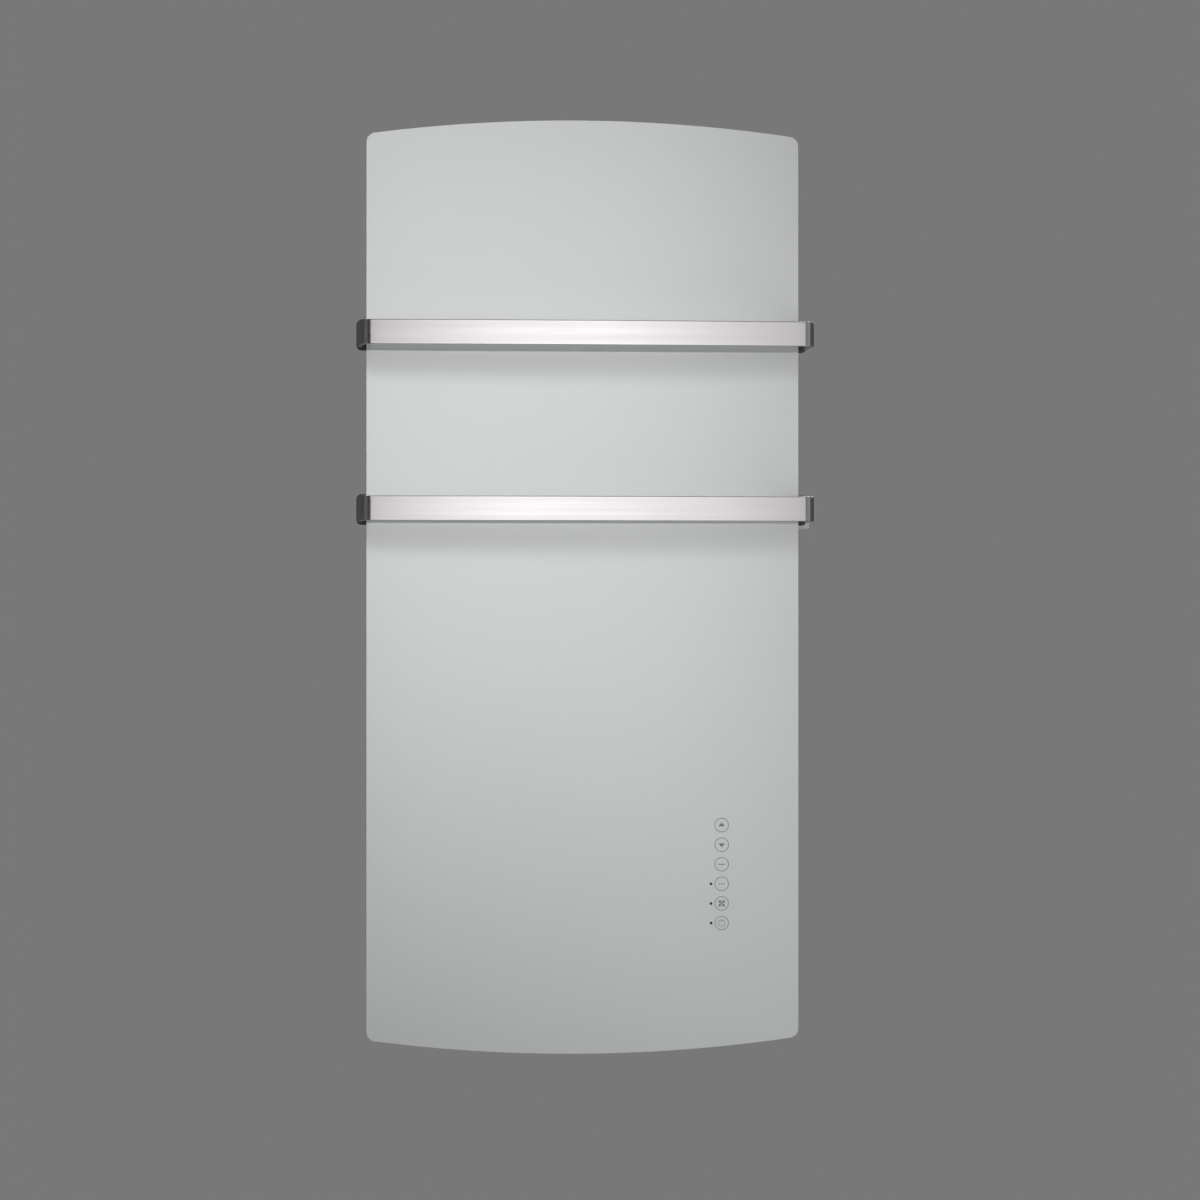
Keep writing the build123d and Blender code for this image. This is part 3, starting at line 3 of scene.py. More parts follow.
import bpy
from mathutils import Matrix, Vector


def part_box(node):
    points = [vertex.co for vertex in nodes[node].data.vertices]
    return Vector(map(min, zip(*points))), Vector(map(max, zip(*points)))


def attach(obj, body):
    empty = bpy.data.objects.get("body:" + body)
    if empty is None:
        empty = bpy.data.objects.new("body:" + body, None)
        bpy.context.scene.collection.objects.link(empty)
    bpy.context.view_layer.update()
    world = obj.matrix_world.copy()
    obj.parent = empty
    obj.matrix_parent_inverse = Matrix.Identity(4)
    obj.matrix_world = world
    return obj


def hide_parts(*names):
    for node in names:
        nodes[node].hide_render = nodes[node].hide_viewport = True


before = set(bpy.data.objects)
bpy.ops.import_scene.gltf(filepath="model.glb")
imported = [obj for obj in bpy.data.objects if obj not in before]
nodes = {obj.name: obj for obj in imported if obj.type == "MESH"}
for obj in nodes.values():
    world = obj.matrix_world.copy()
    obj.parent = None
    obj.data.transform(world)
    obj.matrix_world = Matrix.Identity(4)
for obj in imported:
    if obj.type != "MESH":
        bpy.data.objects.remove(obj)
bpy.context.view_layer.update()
bpy.ops.object.select_all(action="DESELECT")


# Rear casing: one sheet of steel folded into a shallow tray, with rims that turn in
# behind the glass. It is punched for the air, the hooks and the leads, and then
# powder coated in a pale warm grey with a fine orange-peel texture.

class Wire:
    """One output of a shader node. Sums and products of wires become Math nodes."""

    def __init__(self, tree, socket):
        self.tree = tree
        self.socket = socket

    def node(self, kind, settings=None, sockets=None, output=0):
        """Add a node: its settings first, then the values or wires of its sockets."""
        made = self.tree.nodes.new(kind)
        for name, value in (settings or {}).items():
            setattr(made, name, value)
        for name, value in (sockets or {}).items():
            if isinstance(value, Wire):
                self.tree.links.new(value.socket, made.inputs[name])
            else:
                made.inputs[name].default_value = value
        return Wire(self.tree, made.outputs[output]) if made.outputs else None

    def math(self, operation, first, second=0.0):
        return self.node("ShaderNodeMath", {"operation": operation}, {0: first, 1: second})

    def __add__(self, other):
        return self.math("ADD", self, other)

    def __radd__(self, other):
        return self.math("ADD", other, self)

    def __sub__(self, other):
        return self.math("SUBTRACT", self, other)

    def __rsub__(self, other):
        return self.math("SUBTRACT", other, self)

    def __mul__(self, other):
        return self.math("MULTIPLY", self, other)

    def __rmul__(self, other):
        return self.math("MULTIPLY", other, self)

    def mix(self, low, high):
        """A colour that goes from low to high as this wire goes from 0 to 1."""
        return self.node("ShaderNodeMix", {"data_type": "RGBA"}, {0: self, 6: low, 7: high}, 2)

    def span(self, start, end):
        """This wire spread out, so that start becomes 0 and end becomes 1."""
        sockets = {"Value": self, "From Min": start, "From Max": end}
        return self.node("ShaderNodeMapRange", {"clamp": True}, sockets)

    def noise(self, scale, detail=3.0, stretch=(1, 1, 1)):
        """Cloudy pattern with so many features per metre, each axis times its stretch."""
        spread = self.node("ShaderNodeMapping", {}, {"Vector": self, "Scale": stretch})
        return self.node("ShaderNodeTexNoise", {}, {"Vector": spread, "Scale": scale, "Detail": detail})

    def bump(self, height, depth, strength=1.0):
        return self.node("ShaderNodeBump", {}, {"Height": height, "Distance": depth, "Strength": strength})

    def surface(self, **sockets):
        """The finished shader. Names are the shader's own, with _ for each space."""
        named = {name.replace("_", " "): value for name, value in sockets.items()}
        shader = self.node("ShaderNodeBsdfPrincipled", {}, named)
        self.node("ShaderNodeOutputMaterial", {}, {"Surface": shader})


def new_finish(name):
    """An empty material, and the wire of its object coordinates."""
    material = bpy.data.materials.new(name)
    material.use_nodes = True
    tree = material.node_tree
    tree.nodes.clear()
    return material, Wire(tree, tree.nodes.new("ShaderNodeTexCoord").outputs["Object"])


def mottled(name, dark, light, cloud, rough, grain, depth, stretch=(1, 1, 1), **constants):
    """Finish whose colour and roughness drift in clouds, over a fine raised grain.

    Cloud and grain are features per metre, rough is the smoothest and the roughest
    value, depth is the grain's height in metres.
    """
    material, place = new_finish(name)
    clouds = place.noise(cloud, 4.0, stretch).span(0.3, 0.7)
    fine = place.noise(grain, 3.0, stretch)
    roughness = (clouds + fine) * ((rough[1] - rough[0]) / 2) + rough[0]
    place.surface(Base_Color=clouds.mix(dark, light), Roughness=roughness,
                  Normal=place.bump(fine, depth), **constants)
    return material


def pick_up(piece):
    """Make one piece the only one selected, and the active one."""
    bpy.ops.object.select_all(action="DESELECT")
    piece.select_set(True)
    bpy.context.view_layer.objects.active = piece


def box_between(low, high):
    """A cube drawn out between two corners, with its place in its mesh."""
    low, high = Vector(low), Vector(high)
    bpy.ops.mesh.primitive_cube_add(size=1, location=(low + high) / 2)
    piece = bpy.context.object
    piece.scale = high - low
    bpy.ops.object.transform_apply(location=True, rotation=True, scale=True)
    return piece


def choose(piece, kind, test):
    """Open a piece for editing with only the edges or faces selected that pass a test.

    The test is given a middle, with an edge's direction or a face's normal.
    """
    pick_up(piece)
    bpy.ops.object.mode_set(mode="EDIT")
    bpy.ops.mesh.select_mode(type=kind)
    bpy.ops.mesh.select_all(action="DESELECT")
    bpy.ops.object.mode_set(mode="OBJECT")
    points = piece.data.vertices
    if kind == "FACE":
        for face in piece.data.polygons:
            face.select = test(face.center, face.normal)
    else:
        for edge in piece.data.edges:
            first, last = (points[i].co for i in edge.vertices)
            edge.select = test((first + last) / 2, (last - first).normalized())
    bpy.ops.object.mode_set(mode="EDIT")


def round_edges(piece, radius, steps, test):
    """Bevel the chosen edges with a round profile."""
    choose(piece, "EDGE", test)
    bpy.ops.mesh.bevel(offset=radius, segments=steps, affect="EDGES")
    bpy.ops.object.mode_set(mode="OBJECT")


def along(axis):
    """Test for edges that run along X, Y or Z, given as 0, 1 or 2."""
    return lambda middle, direction: abs(direction[axis]) > 0.99


def modify(piece, kind, **settings):
    """Add a modifier and apply it."""
    pick_up(piece)
    modifier = piece.modifiers.new(kind.lower(), kind)
    for name, value in settings.items():
        setattr(modifier, name, value)
    bpy.ops.object.modifier_apply(modifier=modifier.name)


def join(pieces):
    """Join separate meshes into the first."""
    pick_up(pieces[0])
    for piece in pieces[1:]:
        piece.select_set(True)
    bpy.ops.object.join()
    return pieces[0]


def cut(piece, cutters):
    """Take the cutters' space out of a piece."""
    cutter = join(cutters)
    modify(piece, "BOOLEAN", operation="DIFFERENCE", solver="EXACT", object=cutter)
    bpy.data.objects.remove(cutter)


def ease(piece, radius, steps=2, limit=40):
    """Round every edge that is sharper than the limit, in degrees."""
    modify(piece, "BEVEL", width=radius, segments=steps, limit_method="ANGLE", angle_limit=radians(limit))


def finish_piece(piece, name, material, body="heater", stands_for=()):
    """Shade, name and dress a finished piece, and let it move with its body."""
    piece.name = name
    piece.data.name = name
    pick_up(piece)
    bpy.ops.object.shade_smooth_by_angle(angle=radians(35))
    modify(piece, "WEIGHTED_NORMAL", keep_sharp=True)
    if material is not None:
        piece.data.materials.clear()
        piece.data.materials.append(material)
    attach(piece, body)
    if stands_for:
        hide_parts(*stands_for)
    return piece


SHEET = 0.0012
FOLD_R = 0.0018
CASING_CORNER_R = 0.006
SIDE_FLANGE = 0.048
END_FLANGE = 0.022
VENTS = 11
VENT_PITCH = 0.030
VENT_LENGTH = 0.022
VENT_WIDTH = 0.005
HOOK_SLOT_X = 0.060
HOOK_SLOT_W = 0.026
HOOK_SLOT_H = 0.012
HATCH_X = -0.150
HATCH_Z = -0.550
HATCH_W = 0.060
HATCH_H = 0.040
FAN_AXIS_X = -0.020
FAN_AXIS_Y = -0.036
CUT_DEPTH = 0.004
HOOK_LIP = 0.008
OUTLET_L = 0.200
OUTLET_RIM = 0.0015
VENT_END_R = VENT_WIDTH / 2.1
casing_low, casing_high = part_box("rear_casing")
casing = box_between(casing_low, casing_high)
round_edges(casing, CASING_CORNER_R, 6, along(1))
ease(casing, FOLD_R, 3)
wall = Vector((SHEET, SHEET, SHEET))
room = box_between(casing_low + wall, casing_high - wall)
round_edges(room, CASING_CORNER_R - SHEET, 6, along(1))
cut(casing, [room])
mouth = box_between((casing_low.x + SIDE_FLANGE, casing_low.y - SHEET, casing_low.z + END_FLANGE),
                    (casing_high.x - SIDE_FLANGE, casing_low.y + 2 * SHEET, casing_high.z - END_FLANGE))
cut(casing, [mouth])
vents = []
for i in range(VENTS):
    vent_x = (i - (VENTS - 1) / 2) * VENT_PITCH
    vent = box_between((vent_x - VENT_LENGTH / 2, FAN_AXIS_Y - VENT_WIDTH, casing_high.z - CUT_DEPTH),
                       (vent_x + VENT_LENGTH / 2, FAN_AXIS_Y, casing_high.z + CUT_DEPTH))
    round_edges(vent, VENT_END_R, 5, along(2))
    vents.append(vent)
cut(casing, vents)
back = casing_high.y
bracket_low, bracket_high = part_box("wall_bracket")
hook_top = bracket_high.z - HOOK_LIP
openings = []
for side in (-1, 1):
    openings.append(box_between(
        (side * HOOK_SLOT_X - HOOK_SLOT_W / 2, back - CUT_DEPTH, hook_top - HOOK_SLOT_H),
        (side * HOOK_SLOT_X + HOOK_SLOT_W / 2, back + CUT_DEPTH, hook_top)))
openings.append(box_between((HATCH_X - HATCH_W / 2, back - CUT_DEPTH, HATCH_Z - HATCH_H / 2),
                            (HATCH_X + HATCH_W / 2, back + CUT_DEPTH, HATCH_Z + HATCH_H / 2)))
intake_low, intake_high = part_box("filter_mesh")
openings.append(box_between((intake_low.x, back - CUT_DEPTH, intake_low.z),
                            (intake_high.x, back + CUT_DEPTH, intake_high.z)))
outlet_low, outlet_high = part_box("outlet_grille")
openings.append(box_between(
    (FAN_AXIS_X - OUTLET_L / 2, outlet_low.y + OUTLET_RIM, casing_low.z - CUT_DEPTH),
    (FAN_AXIS_X + OUTLET_L / 2, outlet_high.y - OUTLET_RIM, casing_low.z + CUT_DEPTH)))
cut(casing, openings)
casing_paint = mottled("casing_paint", (0.50, 0.51, 0.50, 1), (0.56, 0.57, 0.555, 1), 9, (0.42, 0.58),
                       1500, 0.00004)
finish_piece(casing, "rear_casing_shell", casing_paint, stands_for=("rear_casing",))


# Wall bracket: a zinc-plated steel plate screwed to the wall. Its sides fold forward,
# and two hooks at its top edge turn up behind the casing's back to carry the heater.

def eased_copy(node, name, material, radius, body="heater", steps=2):
    """A carried-over piece with its loose triangles merged and its sharp edges rounded."""
    piece = bpy.data.objects.new(name, nodes[node].data.copy())
    bpy.context.scene.collection.objects.link(piece)
    pick_up(piece)
    if piece.data.has_custom_normals:
        bpy.ops.mesh.customdata_custom_splitnormals_clear()
    bpy.ops.object.mode_set(mode="EDIT")
    bpy.ops.mesh.select_all(action="SELECT")
    bpy.ops.mesh.remove_doubles(threshold=1e-6)
    bpy.ops.mesh.dissolve_limited(angle_limit=radians(1))
    bpy.ops.object.mode_set(mode="OBJECT")
    ease(piece, radius, steps)
    return finish_piece(piece, name, material, body, (node,))


def zinc(name, dark, light):
    """Plated steel: patches of crystal, each with its own shade and gloss."""
    material, place = new_finish(name)
    patches = place.node("ShaderNodeTexVoronoi", {}, {"Vector": place, "Scale": 130.0}, "Color")
    patch = place.node("ShaderNodeSeparateColor", {}, {"Color": patches}, 0)
    fine = place.noise(2500, 2.0)
    place.surface(Base_Color=patch.mix(dark, light), Roughness=patch * 0.16 + 0.28, Metallic=1.0,
                  Normal=place.bump(fine, 0.00001))
    return material


bracket_zinc = zinc("bracket_zinc", (0.45, 0.46, 0.47, 1), (0.62, 0.62, 0.60, 1))
eased_copy("wall_bracket", "wall_bracket_plate", bracket_zinc, 0.0005)


# Wall buffers: two turned black rubber buttons, plugged into the casing's lower back
# to hold it off the wall.

buffer_rubber = mottled("buffer_rubber", (0.012, 0.012, 0.012, 1), (0.03, 0.03, 0.029, 1), 60, (0.6, 0.8),
                        2200, 0.00004)
eased_copy("wall_spacers", "wall_buffers", buffer_rubber, 0.001, steps=3)


# Hatch cover and screws: a painted plate over the wiring hatch, and pan-head screws
# with plated heads that hold it, the bar plates, the heat shield and the board.

cover_paint = mottled("cover_paint", (0.47, 0.48, 0.47, 1), (0.54, 0.55, 0.54, 1), 14, (0.42, 0.58),
                      1500, 0.00004)
eased_copy("terminal_cover", "hatch_cover", cover_paint, 0.0003)
screw_zinc = zinc("screw_zinc", (0.50, 0.50, 0.50, 1), (0.70, 0.70, 0.68, 1))
eased_copy("casing_screws", "pan_head_screws", screw_zinc, 0.0004)


# Air parts in the back and the floor: a slotted black intake grille, the runners of the
# dust filter, and the outlet grille, all moulded in plastic with a fine spark texture.

def moulded(name, dark, light, rough=(0.38, 0.55)):
    """Plastic with the fine texture of a spark-eroded mould."""
    return mottled(name, dark, light, 40, rough, 3000, 0.00002)


black_plastic = moulded("grille_plastic", (0.010, 0.010, 0.011, 1), (0.020, 0.020, 0.021, 1))
eased_copy("intake_grille", "intake_grille_insert", black_plastic, 0.0003)
eased_copy("outlet_grille", "outlet_grille_insert", black_plastic, 0.0003)
eased_copy("filter_guide", "filter_runners", black_plastic, 0.0004)


# Dust filter: a grey plastic frame with a pull tab, and a fine woven net in its window.
# It slides down out of its runners to be brushed clean.

def dress(material, *names):
    """Give carried-over pieces their finish."""
    for name in names:
        for slot in nodes[name].material_slots:
            slot.material = material


filter_plastic = moulded("filter_plastic", (0.28, 0.29, 0.29, 1), (0.34, 0.35, 0.35, 1))
eased_copy("filter_frame", "filter_slide_frame", filter_plastic, 0.0005, body="dust_filter")
filter_net = mottled("filter_net", (0.012, 0.012, 0.012, 1), (0.035, 0.034, 0.033, 1), 90, (0.55, 0.8),
                     4000, 0.00006)
dress(filter_net, "filter_mesh")


# Fan: a drum of thin blades on steel shafts in bronze bushes, between sheet end walls.
# A scroll in front and a tongue behind lead the air down past the heater block.

fan_sheet = zinc("fan_sheet", (0.48, 0.49, 0.50, 1), (0.66, 0.66, 0.65, 1))
dress(fan_sheet, "fan_end_left", "fan_end_right", "fan_scroll", "fan_tongue")
drum_aluminium = mottled("drum_aluminium", (0.60, 0.61, 0.62, 1), (0.74, 0.75, 0.76, 1), 30, (0.25, 0.45),
                         900, 0.00002, (0.02, 1, 1), Metallic=1.0)
dress(drum_aluminium, "impeller")
shaft_steel = mottled("shaft_steel", (0.50, 0.50, 0.50, 1), (0.62, 0.62, 0.62, 1), 50, (0.12, 0.28),
                      3000, 0.000006, (1, 0.05, 0.05), Metallic=1.0)
dress(shaft_steel, "fan_shafts")
sintered_bronze = mottled("sintered_bronze", (0.36, 0.20, 0.07, 1), (0.58, 0.36, 0.14, 1), 900, (0.35, 0.6),
                          5000, 0.00002, Metallic=1.0)
dress(sintered_bronze, "shaft_bushes")


# Fan motor: stacked steel sheets with a copper winding on the upper leg, a rotor on the
# shaft, and two pressed straps with the bushes, all on long bolts.

def banded(name, dark, light, pitch, axis, rough, depth, metallic):
    """Layers or turns of wire: fine ridges square to one axis, so far apart."""
    material, place = new_finish(name)
    across = place.node("ShaderNodeSeparateXYZ", {}, {0: place}, axis)
    ridge = place.math("SINE", across * (2 * pi / pitch)) * 0.5 + 0.5
    worn = place.noise(70, 3.0)
    place.surface(Base_Color=(ridge * 0.6 + worn * 0.4).mix(dark, light), Metallic=metallic,
                  Roughness=worn * (rough[1] - rough[0]) + rough[0], Normal=place.bump(ridge, depth))
    return material


LAMINATION_PITCH = 0.0005
WIRE_PITCH = 0.0004
sheets = banded("stator_sheets", (0.10, 0.10, 0.11, 1), (0.24, 0.24, 0.25, 1), LAMINATION_PITCH, "X",
                (0.4, 0.6), 0.00008, 0.8)
dress(sheets, "motor_stator", "motor_rotor")
copper_turns = banded("copper_turns", (0.30, 0.09, 0.03, 1), (0.72, 0.30, 0.12, 1), WIRE_PITCH, "Y",
                      (0.2, 0.35), 0.0001, 0.9)
dress(copper_turns, "motor_coil")
strap_steel = zinc("strap_steel", (0.42, 0.42, 0.43, 1), (0.58, 0.58, 0.57, 1))
dress(strap_steel, "motor_bridges", "motor_bolts")


# Heater block: ceramic strips between pressed aluminium fins, in a heat-proof frame,
# with an overheat switch clipped to the fan's end wall beside it.

fin_metal = mottled("fin_metal", (0.52, 0.52, 0.51, 1), (0.66, 0.66, 0.64, 1), 60, (0.35, 0.55),
                    1500, 0.00002, Metallic=1.0)
dress(fin_metal, "ptc_fins")
frame_plastic = moulded("frame_plastic", (0.55, 0.52, 0.43, 1), (0.66, 0.62, 0.52, 1))
dress(frame_plastic, "ptc_frame", "terminal_block")
cutout_can = mottled("cutout_can", (0.45, 0.44, 0.42, 1), (0.60, 0.59, 0.57, 1), 80, (0.25, 0.4),
                     2600, 0.00001, Metallic=1.0)
dress(cutout_can, "thermal_cutout")


# Power board: green laminate on tapped posts, with a transformer, two relays, a
# capacitor and its plugs, and the leads that run from it to the other parts.

def printed_board(name):
    """Green solder mask over copper tracks, a shade lighter where a track runs."""
    material, place = new_finish(name)
    TRACK_PITCH = 0.0035
    across = place.node("ShaderNodeSeparateXYZ", {}, {0: place}, "X")
    up = place.node("ShaderNodeSeparateXYZ", {}, {0: place}, "Z")
    wander = place.noise(90, 2.0)
    line = place.math("SINE", (across + up * wander * 0.4) * (2 * pi / TRACK_PITCH)).span(0.1, 0.4)
    place.surface(Base_Color=line.mix((0.008, 0.07, 0.025, 1), (0.015, 0.15, 0.05, 1)),
                  Roughness=wander * 0.15 + 0.22, Normal=place.bump(line, 0.00004))
    return material


green_board = printed_board("green_board")
dress(green_board, "power_board", "touch_board")
post_plastic = moulded("post_plastic", (0.55, 0.55, 0.53, 1), (0.66, 0.66, 0.64, 1))
dress(post_plastic, "board_standoffs", "board_connectors", "board_tray")
relay_blue = moulded("relay_blue", (0.010, 0.045, 0.20, 1), (0.020, 0.070, 0.28, 1), (0.25, 0.4))
dress(relay_blue, "relays")
transformer_core = banded("transformer_core", (0.05, 0.05, 0.055, 1), (0.16, 0.13, 0.10, 1),
                          LAMINATION_PITCH, "Y", (0.4, 0.6), 0.00006, 0.3)
dress(transformer_core, "transformer")
capacitor_sleeve = mottled("capacitor_sleeve", (0.012, 0.012, 0.016, 1), (0.03, 0.03, 0.036, 1), 50,
                           (0.15, 0.3), 1800, 0.00001)
dress(capacitor_sleeve, "capacitor")
lead_jacket = mottled("lead_jacket", (0.55, 0.55, 0.53, 1), (0.68, 0.68, 0.66, 1), 200, (0.3, 0.5),
                      2400, 0.00003)
dress(lead_jacket, "wiring", "ribbon_cable")
plated_screw = zinc("plated_screw", (0.50, 0.50, 0.48, 1), (0.68, 0.68, 0.66, 1))
dress(plated_screw, "terminal_screws", "plate_nuts")


# Cable gland: a black nylon body with a hexagon collar, a domed cap, a lock nut inside
# and a rubber seal, where the mains cable would enter.

gland_nylon = moulded("gland_nylon", (0.012, 0.012, 0.013, 1), (0.026, 0.026, 0.027, 1))
eased_copy("cable_gland", "gland_body", gland_nylon, 0.0004)
eased_copy("gland_cap", "gland_dome", gland_nylon, 0.0005)
dress(gland_nylon, "gland_nut")
seal_rubber = mottled("seal_rubber", (0.02, 0.02, 0.02, 1), (0.045, 0.045, 0.043, 1), 120, (0.6, 0.8),
                      3000, 0.00003)
dress(seal_rubber, "gland_seal")


# Room sensor: a small steel probe in a soft grommet through the casing's floor.

probe_steel = mottled("probe_steel", (0.50, 0.50, 0.50, 1), (0.64, 0.64, 0.63, 1), 60, (0.15, 0.3),
                      3000, 0.000008, (0.1, 0.1, 1), Metallic=1.0)
eased_copy("room_sensor", "room_probe", probe_steel, 0.0006, steps=4)
dress(seal_rubber, "sensor_grommet")


# Switch pod: a small hollow box on the casing's right side, moulded in pale grey
# plastic, with the mains rocker pinned between two cheeks in its outer face.

pod_plastic = moulded("pod_plastic", (0.58, 0.59, 0.59, 1), (0.66, 0.67, 0.67, 1))
eased_copy("switch_pod", "switch_pod_case", pod_plastic, 0.0004, steps=3)
rocker_plastic = moulded("rocker_plastic", (0.020, 0.020, 0.021, 1), (0.035, 0.035, 0.036, 1), (0.25, 0.4))
eased_copy("rocker", "rocker_cap", rocker_plastic, 0.0004, body="rocker_key", steps=3)


# Heat shield and mat: a formed steel tray holds a mineral fibre mat against the back of
# the heating foil, so that the warmth goes out through the glass.

dress(fan_sheet, "heat_shield")
mineral_wool = mottled("mineral_wool", (0.52, 0.49, 0.38, 1), (0.78, 0.75, 0.66, 1), 160, (0.8, 0.98),
                       1400, 0.0004)
dress(mineral_wool, "insulation_mat")
TRACK_STEP = 0.008
heating_film = banded("heating_film", (0.42, 0.42, 0.43, 1), (0.68, 0.69, 0.70, 1), TRACK_STEP, "Z",
                      (0.2, 0.4), 0.00003, 0.9)
dress(heating_film, "heating_foil")


# Rails and studs: aluminium extrusions bonded to the glass with silicone, hung on steel
# studs that are riveted into the casing's front rims.

rail_aluminium = mottled("rail_aluminium", (0.55, 0.56, 0.57, 1), (0.70, 0.71, 0.72, 1), 25, (0.28, 0.46),
                         1600, 0.00002, (1, 1, 0.01), Metallic=1.0)
dress(rail_aluminium, "glass_rail_left", "glass_rail_right")
dress(plated_screw, "rail_studs")
bond_silicone = mottled("bond_silicone", (0.55, 0.55, 0.52, 1), (0.66, 0.66, 0.63, 1), 60, (0.35, 0.55),
                        900, 0.00006)
dress(bond_silicone, "bond_strips")


# Bar plates: flat rounded plates of dark anodised metal, screwed to the casing's rims,
# which the towel bars' ends stand on.

PLATE_CORNER_R = 0.005
PLATE_EASE = 0.0006
PLATE_INSET = 0.017
plate_dark = mottled("plate_dark", (0.055, 0.053, 0.053, 1), (0.085, 0.082, 0.082, 1), 30, (0.35, 0.5),
                     1800, 0.00001, (1, 1, 0.04), Metallic=0.6)
for level in ("upper", "lower"):
    plate_low, plate_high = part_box(f"bar_plates_{level}")
    pair = []
    for side in (-1, 1):
        ends = sorted((side * (casing_high.x - PLATE_INSET), side * plate_high.x))
        plate = box_between((ends[0], plate_low.y, plate_low.z), (ends[1], plate_high.y, plate_high.z))
        round_edges(plate, PLATE_CORNER_R, 8, along(1))
        ease(plate, PLATE_EASE, 3)
        pair.append(plate)
    plates = join(pair)
    finish_piece(plates, f"bar_plates_{level}_pair", plate_dark,
                 stands_for=(f"bar_plates_{level}",))


# Towel bars: flat steel strip bent into a shallow bow with a tight round bend at each
# end, so that its legs stand on the plates. The strip is brushed along its length.

def brushed_steel(name):
    """Satin steel, brushed lengthwise: every line keeps its height on the strip."""
    material, place = new_finish(name)
    lines = place.noise(2600, 4.0, (0.004, 0.004, 1))
    bands = place.noise(160, 3.0, (0.02, 0.02, 1))
    clouds = place.noise(6, 2.0)
    tone = (lines * 0.4 + clouds * 0.6).span(0.3, 0.7)
    colour = tone.mix((0.60, 0.575, 0.585, 1), (0.70, 0.685, 0.69, 1))
    place.surface(Base_Color=colour, Roughness=lines * 0.10 + bands * 0.08 + 0.20, Metallic=1.0,
                  Normal=place.bump(lines, 0.000006))
    return material


def corner_place(half, apex, end_r, corner_r):
    """Where a round corner's centre lies between a straight side and a shallow arc.

    Gives its distance from the middle, its height, and the arc's half angle.
    """
    across = half - corner_r
    height = apex - end_r + sqrt((end_r - corner_r) ** 2 - across ** 2)
    return across, height, asin(across / (end_r - corner_r))


def extrude(shift):
    bpy.ops.mesh.extrude_region_move(TRANSFORM_OT_translate={"value": shift})


def spin(centre, axis, angle, steps):
    """Sweep what is selected about an axis. The operator's own angles run clockwise."""
    bpy.ops.mesh.spin(steps=steps, angle=-angle, center=centre, axis=axis)


STRIP_T = 0.004
STRIP_EASE = 0.0007
BEND_R = 0.011
BAR_BOW = 0.005
HAIR = 0.000002  # keeps the crown inside the solid's own reach
BEND_STEPS = 14
BOW_STEPS = 48
bar_steel = brushed_steel("bar_steel")
for level in ("upper", "lower"):
    bar_low, bar_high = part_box(f"towel_bar_{level}")
    half = bar_high.x
    crown = -bar_low.y - HAIR
    foot = -bar_high.y
    bar_z = (bar_low.z + bar_high.z) / 2
    bow_r = (half ** 2 + BAR_BOW ** 2) / (2 * BAR_BOW)
    bend_x, bend_y, bow_angle = corner_place(half, crown, bow_r, BEND_R)
    bpy.ops.mesh.primitive_plane_add(size=1, location=(-half + STRIP_T / 2, -foot, bar_z),
                                     rotation=(pi / 2, 0, 0))
    bar = bpy.context.object
    bar.scale = (STRIP_T, bar_high.z - bar_low.z, 1)
    bpy.ops.object.transform_apply(location=True, rotation=True, scale=True)
    bpy.ops.object.mode_set(mode="EDIT")
    bpy.ops.mesh.select_all(action="SELECT")
    extrude((0, foot - bend_y, 0))
    spin((-bend_x, -bend_y, bar_z), (0, 0, 1), pi / 2 - bow_angle, BEND_STEPS)
    spin((0, bow_r - crown, bar_z), (0, 0, 1), 2 * bow_angle, BOW_STEPS)
    spin((bend_x, -bend_y, bar_z), (0, 0, 1), pi / 2 - bow_angle, BEND_STEPS)
    extrude((0, bend_y - foot, 0))
    bpy.ops.mesh.select_all(action="SELECT")
    bpy.ops.mesh.remove_doubles(threshold=1e-6)
    bpy.ops.mesh.normals_make_consistent(inside=False)
    bpy.ops.object.mode_set(mode="OBJECT")
    ease(bar, STRIP_EASE, 3, 60)
    finish_piece(bar, f"towel_hoop_{level}", bar_steel, stands_for=(f"towel_bar_{level}",))


# Glass front: toughened float glass with shallow arched ends and round corners. Its
# back carries a fired pale grey-green enamel, and its rim is ground and polished.

END_R = 1.577
GLASS_CORNER_R = 0.010
ARRIS = 0.0009
START_SIZE = 0.004
ARC_STEPS = 96
CORNER_STEPS = 10
glass_low, glass_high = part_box("glass_panel")
glass_mid = (glass_low + glass_high) / 2
half = glass_high.x
rise = glass_high.z - glass_mid.z - HAIR
corner_x, corner_rise, arc_angle = corner_place(half, rise, END_R, GLASS_CORNER_R)
bpy.ops.mesh.primitive_plane_add(size=START_SIZE, location=(-half, glass_high.y, glass_mid.z))
glass = bpy.context.object
bpy.ops.object.transform_apply(location=True, rotation=True, scale=True)
bpy.ops.object.mode_set(mode="EDIT")
bpy.ops.mesh.select_mode(type="VERT")
bpy.ops.mesh.select_all(action="SELECT")
bpy.ops.mesh.merge(type="CENTER")
turn = pi / 2 - arc_angle
for end in (1, -1):
    corner_z = glass_mid.z + end * corner_rise
    arc_z = glass_mid.z + end * (rise - END_R)
    extrude((0, 0, end * corner_rise))
    spin((-end * corner_x, glass_high.y, corner_z), (0, 1, 0), turn, CORNER_STEPS)
    spin((0, glass_high.y, arc_z), (0, 1, 0), 2 * arc_angle, ARC_STEPS)
    spin((end * corner_x, glass_high.y, corner_z), (0, 1, 0), turn, CORNER_STEPS)
    extrude((0, 0, -end * corner_rise))
bpy.ops.mesh.select_all(action="SELECT")
bpy.ops.mesh.remove_doubles(threshold=1e-6)
bpy.ops.mesh.dissolve_limited(angle_limit=1e-4)
bpy.ops.mesh.select_all(action="SELECT")
bpy.ops.mesh.edge_face_add()
extrude((0, glass_low.y - glass_high.y, 0))
bpy.ops.mesh.select_all(action="SELECT")
bpy.ops.mesh.normals_make_consistent(inside=False)
